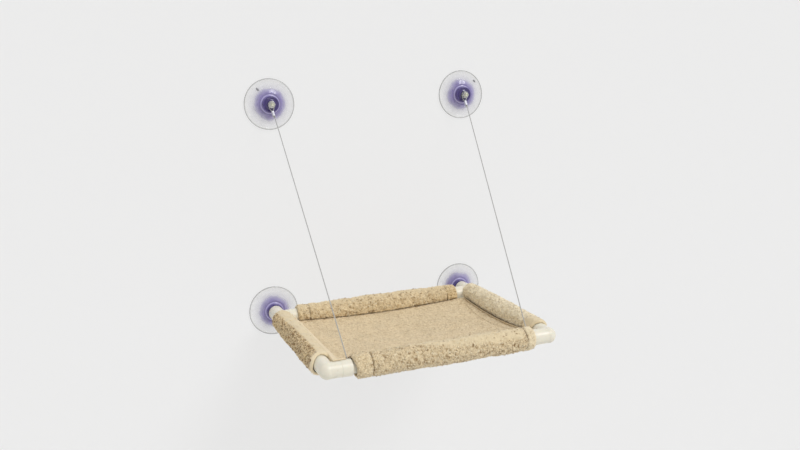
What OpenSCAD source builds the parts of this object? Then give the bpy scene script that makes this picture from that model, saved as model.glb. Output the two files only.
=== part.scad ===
// Window mounted cat perch: four suction cups, two cables and a tube frame in a fleece cover.
// The glass is the plane y = 0, the room is towards -Y, and the origin lies midway between the
// lower cups. Left and right are as seen from the room.

/* [Layout] */
// Distance between the side rail axes, and between the two lower cups
rail_spacing = 475; // [420:5:560]
// Distance between the two upper cups
upper_spacing = 474; // [420:1:540]
// Distance from the glass to the front rail axis
bed_reach = 445; // [380:5:480]
// Distance from the glass to the rear rail axis
rear_reach = 66; // [64:1:76]
// Height of the upper cups above the lower cups
cup_rise = 480; // [420:5:540]
// How far the upper cups sit to the right of the frame's middle
cup_shift = 18.5; // [0:0.5:24]

/* [Tubes] */
// Outside diameter of the frame tubes
tube_d = 26.7; // [24:0.1:27.4]
// Wall of the frame tubes
tube_wall = 2.9; // [2:0.1:3.4]
// Space left at each end of a tube, at the bottom of its socket
tube_end_gap = 0.3; // [0.2:0.1:0.8]

/* [Fittings] */
// Outside diameter of the socket collars of elbows and tees
collar_d = 33.4; // [32.6:0.1:34.4]
// Outside diameter of a fitting between its collars
fitting_body_d = 32.4; // [31:0.1:32.4]
// Depth of each socket, which is also the length of its collar
socket_depth = 22; // [18:0.5:24]
// Play between a tube and its socket, on the radius
socket_play = 0.05; // [0.03:0.01:0.09]
// Bore between the sockets of a fitting
fitting_bore_d = 22; // [18:0.5:23]
// From the corner of an elbow to the mouth of each socket
elbow_reach = 48; // [44:1:52]
// From the middle of a tee to the mouth of each socket
tee_reach = 41.5; // [38:0.5:42]
// Rounding at the mouth of a collar
collar_edge = 1; // [0.4:0.1:1.4]

/* [End plugs] */
// Thickness of the plug's flange
plug_flange_t = 2.5; // [1.5:0.1:2.6]
// Length of the plug inside its socket
plug_depth = 14; // [11.5:0.5:16]
// Thickness of the plug's web, which the nut bears on
plug_web_t = 4; // [3:0.5:5]
// Diameter of the recess for the nut
plug_recess_d = 20; // [17:0.5:22]

/* [Suction cups] */
// Diameter of a suction cup
cup_d = 115; // [100:1:125]
// Width of the flat sealing band at the rim
seal_w = 13.5; // [10:0.5:16]
// Thickness of the rim
rim_t = 1.8; // [1.2:0.1:2.4]
// Height of the hollow behind the cup, at its middle
hollow_h = 3; // [2:0.1:3.8]
// Diameter of the raised crown that carries the hub
crown_d = 52; // [46:1:58]
// Height of the crown above the glass
crown_h = 8.5; // [7.5:0.1:8.8]

/* [Hubs] */
// Diameter of a hub at its foot
hub_foot_d = 44; // [41:0.5:45]
// Diameter of a hub
hub_d = 37; // [34:0.5:39]
// Height of a hub's face above the glass
hub_h = 20; // [18.5:0.1:20.6]
// Height of the flare at the foot of a hub
hub_flare_h = 3.4; // [2:0.1:4]
// Rounding at the face of a hub
hub_edge = 1.6; // [1:0.1:2.2]

/* [Studs nuts and washers] */
// Diameter of the studs
stud_d = 8; // [6:0.1:9]
// Diameter of a stud's head, which is buried in the hub
stud_head_d = 16; // [14:0.5:17]
// Thickness of a stud's head
stud_head_t = 2; // [1.5:0.1:2.5]
// Height of a stud's head above the glass
stud_head_h = 12; // [11.5:0.1:12.5]
// Play round a stud and its head in the vinyl
stud_play = 0.1; // [0.05:0.01:0.1]
// Bevel at a stud's tip
stud_bevel = 0.8; // [0.4:0.1:1.2]
// Thread that stands past a nut
stud_past_nut = 3.5; // [2:0.1:5]
// Nut size across its flats
nut_flats = 13; // [12.5:0.1:14]
// Nut thickness
nut_t = 6.5; // [5:0.1:7]
// Play between a nut and its stud, on the radius
nut_play = 0.05; // [0.03:0.01:0.09]
// Washer diameter
washer_d = 16; // [15:0.1:17]
// Washer thickness
washer_t = 1.6; // [1:0.1:1.7]
// Play between a washer and its stud, on the radius
washer_play = 0.3; // [0.1:0.05:0.5]
// Gap between the parts stacked on a stud
stack_gap = 0.1; // [0.05:0.01:0.15]

/* [Cables] */
// Diameter of a coated cable
cable_d = 2; // [1.4:0.1:2.2]
// How far inside the mouth of a front elbow its cable goes through collar and rail
cable_inset = 3.5; // [3:0.1:6]
// Play round a cable in its holes in the collar and the rail
cable_hole_play = 0.5; // [0.2:0.1:0.8]
// Gap between the two strands in a ferrule, and from a strand to its wall
strand_gap = 0.2; // [0.15:0.01:0.3]
// Length of a ferrule
ferrule_len = 14; // [10:0.5:18]
// Wall of a ferrule
ferrule_wall = 1.3; // [1:0.1:1.6]
// Cut end of a cable that stands past its ferrule
cable_tail = 4; // [2:0.5:8]
// Length of the narrowing part of the upper loop, from its bend to the ferrule
upper_loop_len = 8; // [7:0.5:20]
// Diameter of the crimped stop that holds each cable inside the front rail
stop_d = 6; // [5:0.1:7]
// Length of that stop
stop_len = 12; // [8:0.5:14]
// Length over which a strand bends away from the glass, before and after the corner
cable_corner = 3; // [2:0.1:3.4]

/* [Fleece sleeves] */
// Thickness of the fleece in a sleeve
fleece_t = 8; // [6:0.5:9]
// Gap between fleece and its neighbours
fleece_gap = 0.3; // [0.2:0.05:0.4]
// Width of the folded hem at each end of a side or rear sleeve
hem_w = 27; // [20:1:40]
// Width of the hem at the left end of the front sleeve
front_left_hem_w = 32; // [20:1:40]
// Width of the hem at the right end of the front sleeve
front_right_hem_w = 20; // [16:1:40]
// Depth of the sewn groove that marks a hem
seam_depth = 2; // [1:0.1:3]
// Width of that groove
seam_w = 5; // [3:0.5:8]
// Rounding at the mouth of a sleeve
mouth_round = 4; // [2:0.5:5]
// How much fatter a sleeve is at its middle than at its hems, on the radius
sleeve_swell = 0.8; // [0:0.1:1]
// Bare tube at the left end of the front sleeve
front_sleeve_bare = 6; // [5:0.5:12]
// How far the front sleeve covers the right elbow's collar
front_sleeve_cover = 10; // [8:0.5:20]
// How far the rear sleeve covers the left tee's collar
rear_sleeve_left_cover = 3; // [2:0.5:12]
// How far the rear sleeve covers the right tee's collar
rear_sleeve_right_cover = 1; // [0.5:0.5:14]
// How far each side sleeve covers the front elbow's collar
side_sleeve_cover = 3; // [2:0.5:12]
// Gap between the rear end of a side sleeve and the tee's branch
branch_gap = 0.8; // [0.5:0.1:3]
// Gap between the right cable and its hole in the front sleeve
cable_sleeve_gap = 2; // [1:0.25:3]

/* [Bed panel] */
// Thickness of the bed panel
panel_t = 8; // [5:0.5:10]
// Height of the panel's rear left corner
panel_rear_left_z = -5; // [-10:0.5:0]
// Height of the panel's rear right corner
panel_rear_right_z = -4; // [-10:0.5:0]
// Height of the panel's front left corner
panel_front_left_z = 1; // [-10:0.5:6]
// Height of the panel's front right corner
panel_front_right_z = 5; // [-10:0.5:8]
// How far the rear and right edges hang down between their corners
panel_edge_sag = 9; // [2:0.5:10]
// How far the panel's middle hangs below its edges
panel_sag = 12; // [4:1:30]
// How far the right edge is drawn in at its middle
panel_draw = 3; // [0:0.5:10]

/* [Hidden] */
$fn = 64;

// Which side a piece is on
LEFT = -1;
RIGHT = 1;

// Colours of the materials
ivory = [0.90, 0.88, 0.82];
clear_vinyl = [0.84, 0.85, 0.87, 0.5];
violet_vinyl = [0.42, 0.38, 0.62];
steel = [0.72, 0.73, 0.75];
coating = [0.80, 0.80, 0.79];
fleece = [0.80, 0.70, 0.54];

// Overrun of every cut
cut = 1;

// Frame
half_spacing = rail_spacing / 2;
tube_r = tube_d / 2;
collar_r = collar_d / 2;
socket_r = tube_r + socket_play;
elbow_socket_floor = elbow_reach - socket_depth;
tee_socket_floor = tee_reach - socket_depth;
side_rail_rear = rear_reach + tee_socket_floor + tube_end_gap;
side_rail_front = bed_reach - elbow_socket_floor - tube_end_gap;

// Stack of parts on a lower stud, as heights above the glass
lower_washer_h = hub_h + stack_gap;
plug_h = rear_reach - tee_reach - plug_flange_t;
tee_mouth_h = rear_reach - tee_reach;
lower_nut_h = tee_mouth_h + plug_web_t + stack_gap;
lower_stud_end = lower_nut_h + nut_t + stud_past_nut;

// Stack of parts on an upper stud
inner_washer_h = hub_h + stack_gap;
eye_h = inner_washer_h + washer_t + stack_gap + cable_d / 2;
outer_washer_h = eye_h + cable_d / 2 + stack_gap;
upper_nut_h = outer_washer_h + washer_t + stack_gap;
upper_stud_end = upper_nut_h + nut_t + stud_past_nut;

// Skirt of a cup: its rise to the crown follows this power of the way in from the rim
skirt_power = 2.2;
skirt_steps = 10;
hollow_power = 2;

// Sleeves
sleeve_bore_r = collar_r + fleece_gap;
sleeve_r = sleeve_bore_r + fleece_t;
swell_steps = 8;
round_steps = 5;

// Cables
cable_r = cable_d / 2;
eye_loop_r = stud_d / 2 + stack_gap + cable_r;
loop_drop = washer_d / 2 + cable_r;
stop_seat = sqrt(pow(tube_r - tube_wall, 2) - pow(stop_d / 2, 2)) - strand_gap;
strand_offset = cable_r + strand_gap / 2;
cable_sides = 8;
eye_steps = 10;
corner_steps = 3;
run_steps = 12;

// Panel
panel_cols = 24;
panel_rows = 18;
panel_side_steps = 4;
panel_reach_r = sleeve_r + fleece_gap;

function unit(v) = v / norm(v);
function mix(a, b, t) = a + (b - a) * t;
function arc(centre, r, a0, a1, n) =
    [for (i = [0 : n]) centre + r * [cos(mix(a0, a1, i / n)), sin(mix(a0, a1, i / n))]];

// Where the cups of each row stand
function upper_x(side) = side * upper_spacing / 2 + cup_shift;
function lower_x(side) = side * half_spacing;

// Turns a piece drawn up the Z axis so that it stands out of the glass at a cup
module on_glass(x, z) {
    translate([x, 0, z])
        rotate([90, 0, 0])
            children();
}

// Suction cup skirt: flat sealing band, shallow hollow, thin rim and a dished rise to the crown
module cup_skirt() {
    rim_r = cup_d / 2;
    crown_r = crown_d / 2;
    hollow_r = rim_r - seal_w;
    rise = [for (i = [0 : skirt_steps])
        let (t = i / skirt_steps)
        [mix(rim_r - rim_t / 2, crown_r, t), rim_t + (crown_h - rim_t) * pow(t, skirt_power)]];
    hollow = [for (i = [0 : skirt_steps - 1])
        let (t = i / skirt_steps)
        [hollow_r * t, hollow_h * (1 - pow(t, hollow_power))]];
    color(clear_vinyl)
        rotate_extrude()
            polygon(concat(
                hollow,
                [[hollow_r, 0]],
                [[rim_r, 0]],
                arc([rim_r - rim_t / 2, rim_t / 2], rim_t / 2, 0, 60, round_steps),
                rise,
                [[0, crown_h]]
            ));
}

// Hub: flared foot on the crown, rounded face, and a pocket that holds the stud by its head
module cup_hub() {
    bore_r = stud_d / 2 + stud_play;
    pocket_r = stud_head_d / 2 + stud_play;
    pocket_floor = stud_head_h - stud_play;
    pocket_roof = stud_head_h + stud_head_t + stud_play;
    flare = hub_foot_d / 2 - hub_d / 2;
    foot = [for (i = [0 : round_steps])
        let (a = 90 * i / round_steps)
        [hub_foot_d / 2 - flare * sin(a), crown_h + hub_flare_h * (1 - cos(a))]];
    color(violet_vinyl)
        rotate_extrude()
            polygon(concat(
                [[0, crown_h]],
                foot,
                arc([hub_d / 2 - hub_edge, hub_h - hub_edge], hub_edge, 0, 90, round_steps),
                [[bore_r, hub_h], [bore_r, pocket_roof], [pocket_r, pocket_roof]],
                [[pocket_r, pocket_floor], [0, pocket_floor]]
            ));
}

// Stud with the flat head that the hub holds
module stud(end_h) {
    r = stud_d / 2;
    color(steel)
        rotate_extrude()
            polygon([
                [0, stud_head_h],
                [stud_head_d / 2, stud_head_h],
                [stud_head_d / 2, stud_head_h + stud_head_t],
                [r, stud_head_h + stud_head_t],
                [r, end_h - stud_bevel],
                [r - stud_bevel, end_h],
                [0, end_h]
            ]);
}

module washer(h) {
    color(steel)
        translate([0, 0, h])
            difference() {
                cylinder(d = washer_d, h = washer_t);
                translate([0, 0, -cut])
                    cylinder(r = stud_d / 2 + washer_play, h = washer_t + 2 * cut);
            }
}

module upper_washer(side, h) {
    on_glass(upper_x(side), cup_rise)
        washer(h);
}

module lower_washer(side) {
    on_glass(lower_x(side), 0)
        washer(lower_washer_h);
}

// Hex nut with both faces bevelled to the flats
module hex_nut(h) {
    corner_r = nut_flats / 2 / cos(30);
    bevel = corner_r - nut_flats / 2;
    color(steel)
        translate([0, 0, h])
            difference() {
                intersection() {
                    cylinder(r = corner_r, h = nut_t, $fn = 6);
                    rotate_extrude()
                        polygon([
                            [0, 0],
                            [nut_flats / 2, 0],
                            [corner_r + bevel / 2, bevel],
                            [corner_r + bevel / 2, nut_t - bevel],
                            [nut_flats / 2, nut_t],
                            [0, nut_t]
                        ]);
                }
                translate([0, 0, -cut])
                    cylinder(r = stud_d / 2 + nut_play, h = nut_t + 2 * cut);
            }
}

// Straight tube along Z
module tube(length) {
    color(ivory)
        difference() {
            cylinder(r = tube_r, h = length);
            translate([0, 0, -cut])
                cylinder(r = tube_r - tube_wall, h = length + 2 * cut);
        }
}

// Collar of a socket, standing on Z = 0 with its mouth up
module collar() {
    rotate_extrude()
        polygon(concat(
            [[0, 0], [collar_r - collar_edge, 0], [collar_r, collar_edge]],
            arc([collar_r - collar_edge, socket_depth - collar_edge], collar_edge, 0, 90, round_steps),
            [[0, socket_depth]]
        ));
}

// One leg of a fitting along Z, from the fitting's middle to the mouth
module leg(reach) {
    cylinder(d = fitting_body_d, h = reach - socket_depth / 2);
    translate([0, 0, reach - socket_depth])
        collar();
}

// The socket and bore of one leg
module leg_bore(reach) {
    cylinder(d = fitting_bore_d, h = reach);
    translate([0, 0, reach - socket_depth])
        cylinder(r = socket_r, h = socket_depth + cut);
}

// Tee: its run lies along Y from the end plug to the side rail, its branch takes the rear rail
module tee(side) {
    color(ivory)
        translate([side * half_spacing, -rear_reach, 0])
            difference() {
                union() {
                    rotate([-90, 0, 0])
                        leg(tee_reach);
                    rotate([90, 0, 0])
                        leg(tee_reach);
                    rotate([0, -side * 90, 0])
                        leg(tee_reach);
                }
                rotate([-90, 0, 0])
                    leg_bore(tee_reach);
                rotate([90, 0, 0])
                    leg_bore(tee_reach);
                rotate([0, -side * 90, 0])
                    leg_bore(tee_reach);
            }
}

// Elbow: two legs and a ball at their corner, with a hole in its front leg for the cable
module elbow(side) {
    color(ivory)
        difference() {
            translate([side * half_spacing, -bed_reach, 0])
                difference() {
                    union() {
                        rotate([0, 0, atan2(-1, side)])
                            sphere(d = collar_d);
                        rotate([0, -side * 90, 0])
                            leg(elbow_reach);
                        rotate([-90, 0, 0])
                            leg(elbow_reach);
                    }
                    rotate([0, -side * 90, 0])
                        leg_bore(elbow_reach);
                    rotate([-90, 0, 0])
                        leg_bore(elbow_reach);
                }
            cable_hole(side);
        }
}

// Hole that a cable needs, from the axis of the front rail up and back through what is round it
module cable_hole(side) {
    along(rail_foot(side), -cable_run(side), upper_across(side))
        cylinder(d = cable_d + 2 * cable_hole_play, h = collar_d);
}

// Plug in the rear end of a tee: flange, body, and a recess for the nut behind the web
module end_plug() {
    body_top = plug_h + plug_flange_t + plug_depth;
    color(ivory)
        rotate_extrude()
            polygon(concat(
                [[stud_d / 2 + washer_play, plug_h]],
                arc([collar_r - collar_edge, plug_h + collar_edge], collar_edge, -90, 0, round_steps),
                [[collar_r, plug_h + plug_flange_t], [tube_r, plug_h + plug_flange_t]],
                [[tube_r, body_top], [plug_recess_d / 2, body_top]],
                [[plug_recess_d / 2, tee_mouth_h + plug_web_t]],
                [[stud_d / 2 + washer_play, tee_mouth_h + plug_web_t]]
            ));
}

// Rail that lies along X between two sockets whose floors are given
module cross_rail(y, floor_x) {
    length = 2 * (floor_x - tube_end_gap);
    translate([-length / 2, y, 0])
        rotate([0, 90, 0])
            tube(length);
}

module side_rail(side) {
    translate([side * half_spacing, -side_rail_rear, 0])
        rotate([90, 0, 0])
            tube(side_rail_front - side_rail_rear);
}

// Fleece sleeve along Z: rounded mouths, a sewn groove at each hem, and a swollen middle
module sleeve(length, hems = [hem_w, hem_w]) {
    seam_share = 0.5;
    groove_a = hems[0];
    groove_b = length - hems[1];
    body = [for (i = [1 : swell_steps - 1])
        let (t = i / swell_steps)
        [sleeve_r - sleeve_swell * (1 - sin(180 * t)), mix(groove_a + seam_w, groove_b - seam_w, t)]];
    hem_r = sleeve_r - sleeve_swell;
    outline = concat(
        arc([hem_r - mouth_round, mouth_round], mouth_round, -90, 0, round_steps),
        [[hem_r, groove_a - seam_w * seam_share]],
        [[hem_r - seam_depth, groove_a]],
        [[hem_r, groove_a + seam_w * seam_share]],
        body,
        [[hem_r, groove_b - seam_w * seam_share]],
        [[hem_r - seam_depth, groove_b]],
        [[hem_r, groove_b + seam_w * seam_share]],
        arc([hem_r - mouth_round, length - mouth_round], mouth_round, 0, 90, round_steps)
    );
    color(fleece)
        rotate_extrude()
            polygon(concat([[sleeve_bore_r, 0]], outline, [[sleeve_bore_r, length]]));
}

// Sleeve from x0 to x1 round a cross rail
module cross_sleeve(y, x0, x1, hems = [hem_w, hem_w]) {
    translate([x0, y, 0])
        rotate([0, 90, 0])
            sleeve(x1 - x0, hems);
}

// Sleeve from y0 to y1 below the glass line, round a side rail
module side_sleeve(side, reach0, reach1) {
    translate([side * half_spacing, -reach0, 0])
        rotate([90, 0, 0])
            sleeve(reach1 - reach0);
}

// Ends of the sleeves, from the fittings that they cover or stop short of
front_sleeve_x0 = -(half_spacing - elbow_reach - front_sleeve_bare);
front_sleeve_x1 = half_spacing - elbow_reach + front_sleeve_cover;
rear_sleeve_x0 = -(half_spacing - tee_reach + rear_sleeve_left_cover);
rear_sleeve_x1 = half_spacing - tee_reach + rear_sleeve_right_cover;
side_sleeve_rear = rear_reach + collar_r + branch_gap;
side_sleeve_front = bed_reach - elbow_reach + side_sleeve_cover;

// The front sleeve has a hole, up and back from its bore, where the right cable comes out
module front_sleeve() {
    difference() {
        cross_sleeve(-bed_reach, front_sleeve_x0, front_sleeve_x1, [front_left_hem_w, front_right_hem_w]);
        along(rail_foot(RIGHT), -cable_run(RIGHT), upper_across(RIGHT))
            cylinder(d = cable_d + 2 * cable_sleeve_gap, h = sleeve_r + fleece_t);
    }
}

// The front rail has a hole in its wall for each cable
module front_rail() {
    difference() {
        cross_rail(-bed_reach, half_spacing - elbow_socket_floor);
        for (side = [LEFT, RIGHT])
            cable_hole(side);
    }
}

// Where a cable leaves the plane of its stud, where it meets the front rail, and its direction
function eye_foot(side) = [upper_x(side), -eye_h, cup_rise - loop_drop];
function rail_foot(side) =
    [side * (half_spacing - elbow_reach + cable_inset), -bed_reach, 0];
function cable_run(side) = unit(rail_foot(side) - eye_foot(side));

// Across the strands at the upper ferrule, which lies flat to the glass
function upper_across(side) = unit([1, 0, 0] - cable_run(side) * cable_run(side)[0]);

// A corner at b between a and c, rounded over the length r on each leg
function corner(a, b, c, r, n) = [for (i = [0 : n])
    let (t = i / n, p = b + unit(a - b) * r, q = b + unit(c - b) * r)
    p * pow(1 - t, 2) + b * 2 * t * (1 - t) + q * pow(t, 2)];

// Route of a cable: tail, round the stud, back through its ferrule, down to the stop in the rail
function cable_route(side) =
    let (
        foot = eye_foot(side),
        rail = rail_foot(side),
        run = cable_run(side),
        across = upper_across(side) * strand_offset,
        sideways = [eye_loop_r, 0, 0],
        rise = [0, 0, loop_drop],
        top_near = foot + run * upper_loop_len,
        top_far = top_near + run * ferrule_len,
        end = rail + run * (stop_len - stop_seat + cable_r)
    )
    concat(
        [top_far - across + run * cable_tail, top_near - across],
        corner(top_near - across, foot - sideways, foot - sideways + rise, cable_corner, corner_steps),
        [for (i = [0 : eye_steps])
            let (a = 180 - 180 * i / eye_steps)
            foot + rise + eye_loop_r * [cos(a), 0, sin(a)]],
        corner(foot + sideways + rise, foot + sideways, top_near + across, cable_corner, corner_steps),
        [for (i = [0 : run_steps])
            mix(top_near + across, rail, i / run_steps)],
        [end]
    );

// Tube swept along a route: its rings turn as little as they can from one to the next
module swept_tube(route, r, sides) {
    last = len(route) - 1;
    ahead = [for (i = [0 : last]) unit(route[min(i + 1, last)] - route[max(i - 1, 0)])];
    square_to = function (v, t) unit(v - t * (v * t));
    first = square_to([0, 1, 0], ahead[0]);
    out = [for (i = 0, n = first; i <= last; i = i + 1, n = i <= last ? square_to(n, ahead[i]) : n) n];
    points = [for (i = [0 : last], k = [0 : sides - 1])
        let (a = 360 * k / sides)
        route[i] + r * (out[i] * cos(a) + cross(ahead[i], out[i]) * sin(a))];
    walls = [for (i = [0 : last - 1], k = [0 : sides - 1])
        let (a = i * sides + k, b = i * sides + (k + 1) % sides)
        each [[a, b + sides, b], [a, a + sides, b + sides]]];
    caps = [for (k = [1 : sides - 2])
        each [[0, k, k + 1], [last * sides, last * sides + k + 1, last * sides + k]]];
    polyhedron(points = points, faces = concat(walls, caps), convexity = 6);
}

module cable(side) {
    color(coating)
        swept_tube(cable_route(side), cable_r, cable_sides);
}

// Oval ferrule along Z that holds both strands side by side along X
module ferrule_form() {
    hole_r = cable_r + strand_gap / 2;
    module oval(r) {
        for (s = [LEFT, RIGHT])
            translate([s * strand_offset, 0])
                circle(r = r);
        square([2 * strand_offset, 2 * r], center = true);
    }
    color(steel)
        linear_extrude(height = ferrule_len)
            difference() {
                oval(hole_r + ferrule_wall);
                oval(hole_r);
            }
}

// Puts a piece drawn on Z at a point, with its Z along one direction and its X along another
module along(point, z_dir, x_dir) {
    y_dir = cross(z_dir, x_dir);
    multmatrix([
        [x_dir[0], y_dir[0], z_dir[0], point[0]],
        [x_dir[1], y_dir[1], z_dir[1], point[1]],
        [x_dir[2], y_dir[2], z_dir[2], point[2]],
        [0, 0, 0, 1]
    ])
        children();
}

module upper_ferrule(side) {
    along(eye_foot(side) + cable_run(side) * upper_loop_len, cable_run(side), upper_across(side))
        ferrule_form();
}

// Round stop that bears on the inside of the rail's wall and holds the end of a cable
module lower_ferrule(side) {
    color(steel)
        along(rail_foot(side) - cable_run(side) * stop_seat, cable_run(side), upper_across(side))
            difference() {
                cylinder(d = stop_d, h = stop_len);
                translate([0, 0, -cut])
                    cylinder(r = cable_r + strand_gap / 2, h = stop_len + 2 * cut);
            }
}

// Bed panel: a sling between the sleeves, with its edges on the sleeves' round sides
module bed_panel() {
    top_z = function (u, v)
        mix(
            mix(panel_rear_left_z, panel_rear_right_z, u) - panel_edge_sag * sin(180 * u),
            mix(panel_front_left_z, panel_front_right_z, u),
            v
        )
        - panel_edge_sag * sin(180 * v) * u
        - panel_sag * sin(180 * u) * sin(180 * v);
    inset = function (z) sqrt(max(0, pow(panel_reach_r, 2) - pow(z, 2)));
    place = function (u, v, drop)
        let (
            left = -half_spacing + inset(top_z(0, v) - drop),
            right = half_spacing - inset(top_z(1, v) - drop) - panel_draw * sin(180 * v),
            rear = -rear_reach - inset(top_z(u, 0) - drop),
            front = -bed_reach + inset(top_z(u, 1) - drop)
        )
        [mix(left, right, u), mix(rear, front, v), top_z(u, v) - drop];
    row = panel_cols + 1;
    layer = row * (panel_rows + 1);
    // Top and bottom sheets, then the edge all round, as rows of points from the top to the bottom
    points_of = function (drop) [for (j = [0 : panel_rows], i = [0 : panel_cols])
        place(i / panel_cols, j / panel_rows, drop)];
    round_shares = concat(
        [for (i = [0 : panel_cols - 1]) [i / panel_cols, 0]],
        [for (j = [0 : panel_rows - 1]) [1, j / panel_rows]],
        [for (i = [panel_cols : -1 : 1]) [i / panel_cols, 1]],
        [for (j = [panel_rows : -1 : 1]) [0, j / panel_rows]]
    );
    lap = len(round_shares);
    edge_points = [for (k = [1 : panel_side_steps - 1], p = round_shares)
        place(p[0], p[1], panel_t * k / panel_side_steps)];
    corner_of = function (p) round(p[1] * panel_rows) * row + round(p[0] * panel_cols);
    edge_id = function (k, i)
        k == 0 ? corner_of(round_shares[i % lap])
        : k == panel_side_steps ? layer + corner_of(round_shares[i % lap])
        : 2 * layer + (k - 1) * lap + i % lap;
    sheets = [for (j = [0 : panel_rows - 1], i = [0 : panel_cols - 1])
        let (a = j * row + i, b = a + 1, c = a + row, d = c + 1)
        each [[a, c, b], [b, c, d], [layer + a, layer + b, layer + c], [layer + b, layer + d, layer + c]]];
    edges = [for (k = [0 : panel_side_steps - 1], i = [0 : lap - 1])
        let (a = edge_id(k, i), b = edge_id(k, i + 1), c = edge_id(k + 1, i), d = edge_id(k + 1, i + 1))
        each [[a, b, c], [b, d, c]]];
    color(fleece)
        polyhedron(
            points = concat(points_of(0), points_of(panel_t), edge_points),
            faces = concat(sheets, edges),
            convexity = 4
        );
}

on_glass(upper_x(LEFT), cup_rise) cup_skirt();  // upper_left_cup
on_glass(upper_x(RIGHT), cup_rise) cup_skirt();  // upper_right_cup
on_glass(lower_x(LEFT), 0) cup_skirt();  // lower_left_cup
on_glass(lower_x(RIGHT), 0) cup_skirt();  // lower_right_cup
on_glass(upper_x(LEFT), cup_rise) cup_hub();  // upper_left_hub
on_glass(upper_x(RIGHT), cup_rise) cup_hub();  // upper_right_hub
on_glass(lower_x(LEFT), 0) cup_hub();  // lower_left_hub
on_glass(lower_x(RIGHT), 0) cup_hub();  // lower_right_hub
on_glass(upper_x(LEFT), cup_rise) stud(upper_stud_end);  // upper_left_stud
on_glass(upper_x(RIGHT), cup_rise) stud(upper_stud_end);  // upper_right_stud
on_glass(lower_x(LEFT), 0) stud(lower_stud_end);  // lower_left_stud
on_glass(lower_x(RIGHT), 0) stud(lower_stud_end);  // lower_right_stud
upper_washer(LEFT, inner_washer_h);  // upper_left_inner_washer
upper_washer(RIGHT, inner_washer_h);  // upper_right_inner_washer
upper_washer(LEFT, outer_washer_h);  // upper_left_outer_washer
upper_washer(RIGHT, outer_washer_h);  // upper_right_outer_washer
lower_washer(LEFT);  // lower_left_washer
lower_washer(RIGHT);  // lower_right_washer
on_glass(upper_x(LEFT), cup_rise) hex_nut(upper_nut_h);  // upper_left_nut
on_glass(upper_x(RIGHT), cup_rise) hex_nut(upper_nut_h);  // upper_right_nut
on_glass(lower_x(LEFT), 0) hex_nut(lower_nut_h);  // lower_left_nut
on_glass(lower_x(RIGHT), 0) hex_nut(lower_nut_h);  // lower_right_nut
cable(LEFT);  // left_cable
cable(RIGHT);  // right_cable
upper_ferrule(LEFT);  // upper_left_ferrule
upper_ferrule(RIGHT);  // upper_right_ferrule
lower_ferrule(LEFT);  // lower_left_ferrule
lower_ferrule(RIGHT);  // lower_right_ferrule
tee(LEFT);  // rear_left_tee
tee(RIGHT);  // rear_right_tee
elbow(LEFT);  // front_left_elbow
elbow(RIGHT);  // front_right_elbow
front_rail();
cross_rail(-rear_reach, half_spacing - tee_socket_floor);  // rear_rail
side_rail(LEFT);  // left_rail
side_rail(RIGHT);  // right_rail
on_glass(lower_x(LEFT), 0) end_plug();  // rear_left_end_plug
on_glass(lower_x(RIGHT), 0) end_plug();  // rear_right_end_plug
front_sleeve();
cross_sleeve(-rear_reach, rear_sleeve_x0, rear_sleeve_x1);  // rear_sleeve
side_sleeve(LEFT, side_sleeve_rear, side_sleeve_front);  // left_sleeve
side_sleeve(RIGHT, side_sleeve_rear, side_sleeve_front);  // right_sleeve
bed_panel();
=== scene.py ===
# %% [markdown]
# # A cat bed that hangs on a window
# Four clear suction cups, two thin cables and a tube frame in a curly fleece cover. The solids come
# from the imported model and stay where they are. This lesson gives each of them its real surface:
# moulded vinyl, zinc plate, ivory plastic and sewn fleece. Lengths are in metres. Outlines and the
# rules of the fleece are in millimetres, and are turned into metres when a mesh is made.

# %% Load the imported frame
import math
import bpy
import bmesh
import numpy as np
from mathutils import Matrix, Vector, noise


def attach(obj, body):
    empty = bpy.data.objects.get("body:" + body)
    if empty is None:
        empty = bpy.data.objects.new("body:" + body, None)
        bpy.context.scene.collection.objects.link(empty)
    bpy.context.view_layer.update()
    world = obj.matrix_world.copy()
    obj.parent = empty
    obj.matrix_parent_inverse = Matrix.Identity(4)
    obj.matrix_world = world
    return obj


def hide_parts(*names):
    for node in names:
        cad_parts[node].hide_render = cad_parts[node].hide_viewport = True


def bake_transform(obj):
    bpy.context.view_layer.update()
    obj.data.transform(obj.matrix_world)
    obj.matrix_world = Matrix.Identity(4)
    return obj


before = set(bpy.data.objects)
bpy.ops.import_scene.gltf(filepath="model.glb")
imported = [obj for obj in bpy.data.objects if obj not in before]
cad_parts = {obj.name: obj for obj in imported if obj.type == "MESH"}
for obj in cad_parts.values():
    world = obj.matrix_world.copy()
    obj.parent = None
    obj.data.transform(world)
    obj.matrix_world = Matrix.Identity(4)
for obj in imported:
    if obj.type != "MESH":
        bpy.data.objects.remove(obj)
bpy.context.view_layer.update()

MM = 0.001
FULL = 2 * math.pi

# %% [markdown]
# ## The camera
# The photograph looks slightly down on the bed from its left, with a small roll. A camera matrix has
# the picture's right, its up and the way back to the viewer as columns, so those three are worked out
# from the angles and set directly. The lens is given for a sensor 36 mm wide.

# %% Camera at the photograph's angle
yaw, pitch, roll = (math.radians(a) for a in (20.65, -11.04, -1.9))
ahead = Vector((math.sin(yaw) * math.cos(pitch), math.cos(yaw) * math.cos(pitch), math.sin(pitch)))
level_right = Vector((math.cos(yaw), -math.sin(yaw), 0))
level_up = level_right.cross(ahead)
right = level_right * math.cos(roll) + level_up * math.sin(roll)
up = level_up * math.cos(roll) - level_right * math.sin(roll)


def in_scene(name, data):
    obj = bpy.data.objects.new(name, data)
    bpy.context.scene.collection.objects.link(obj)
    return obj


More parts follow.
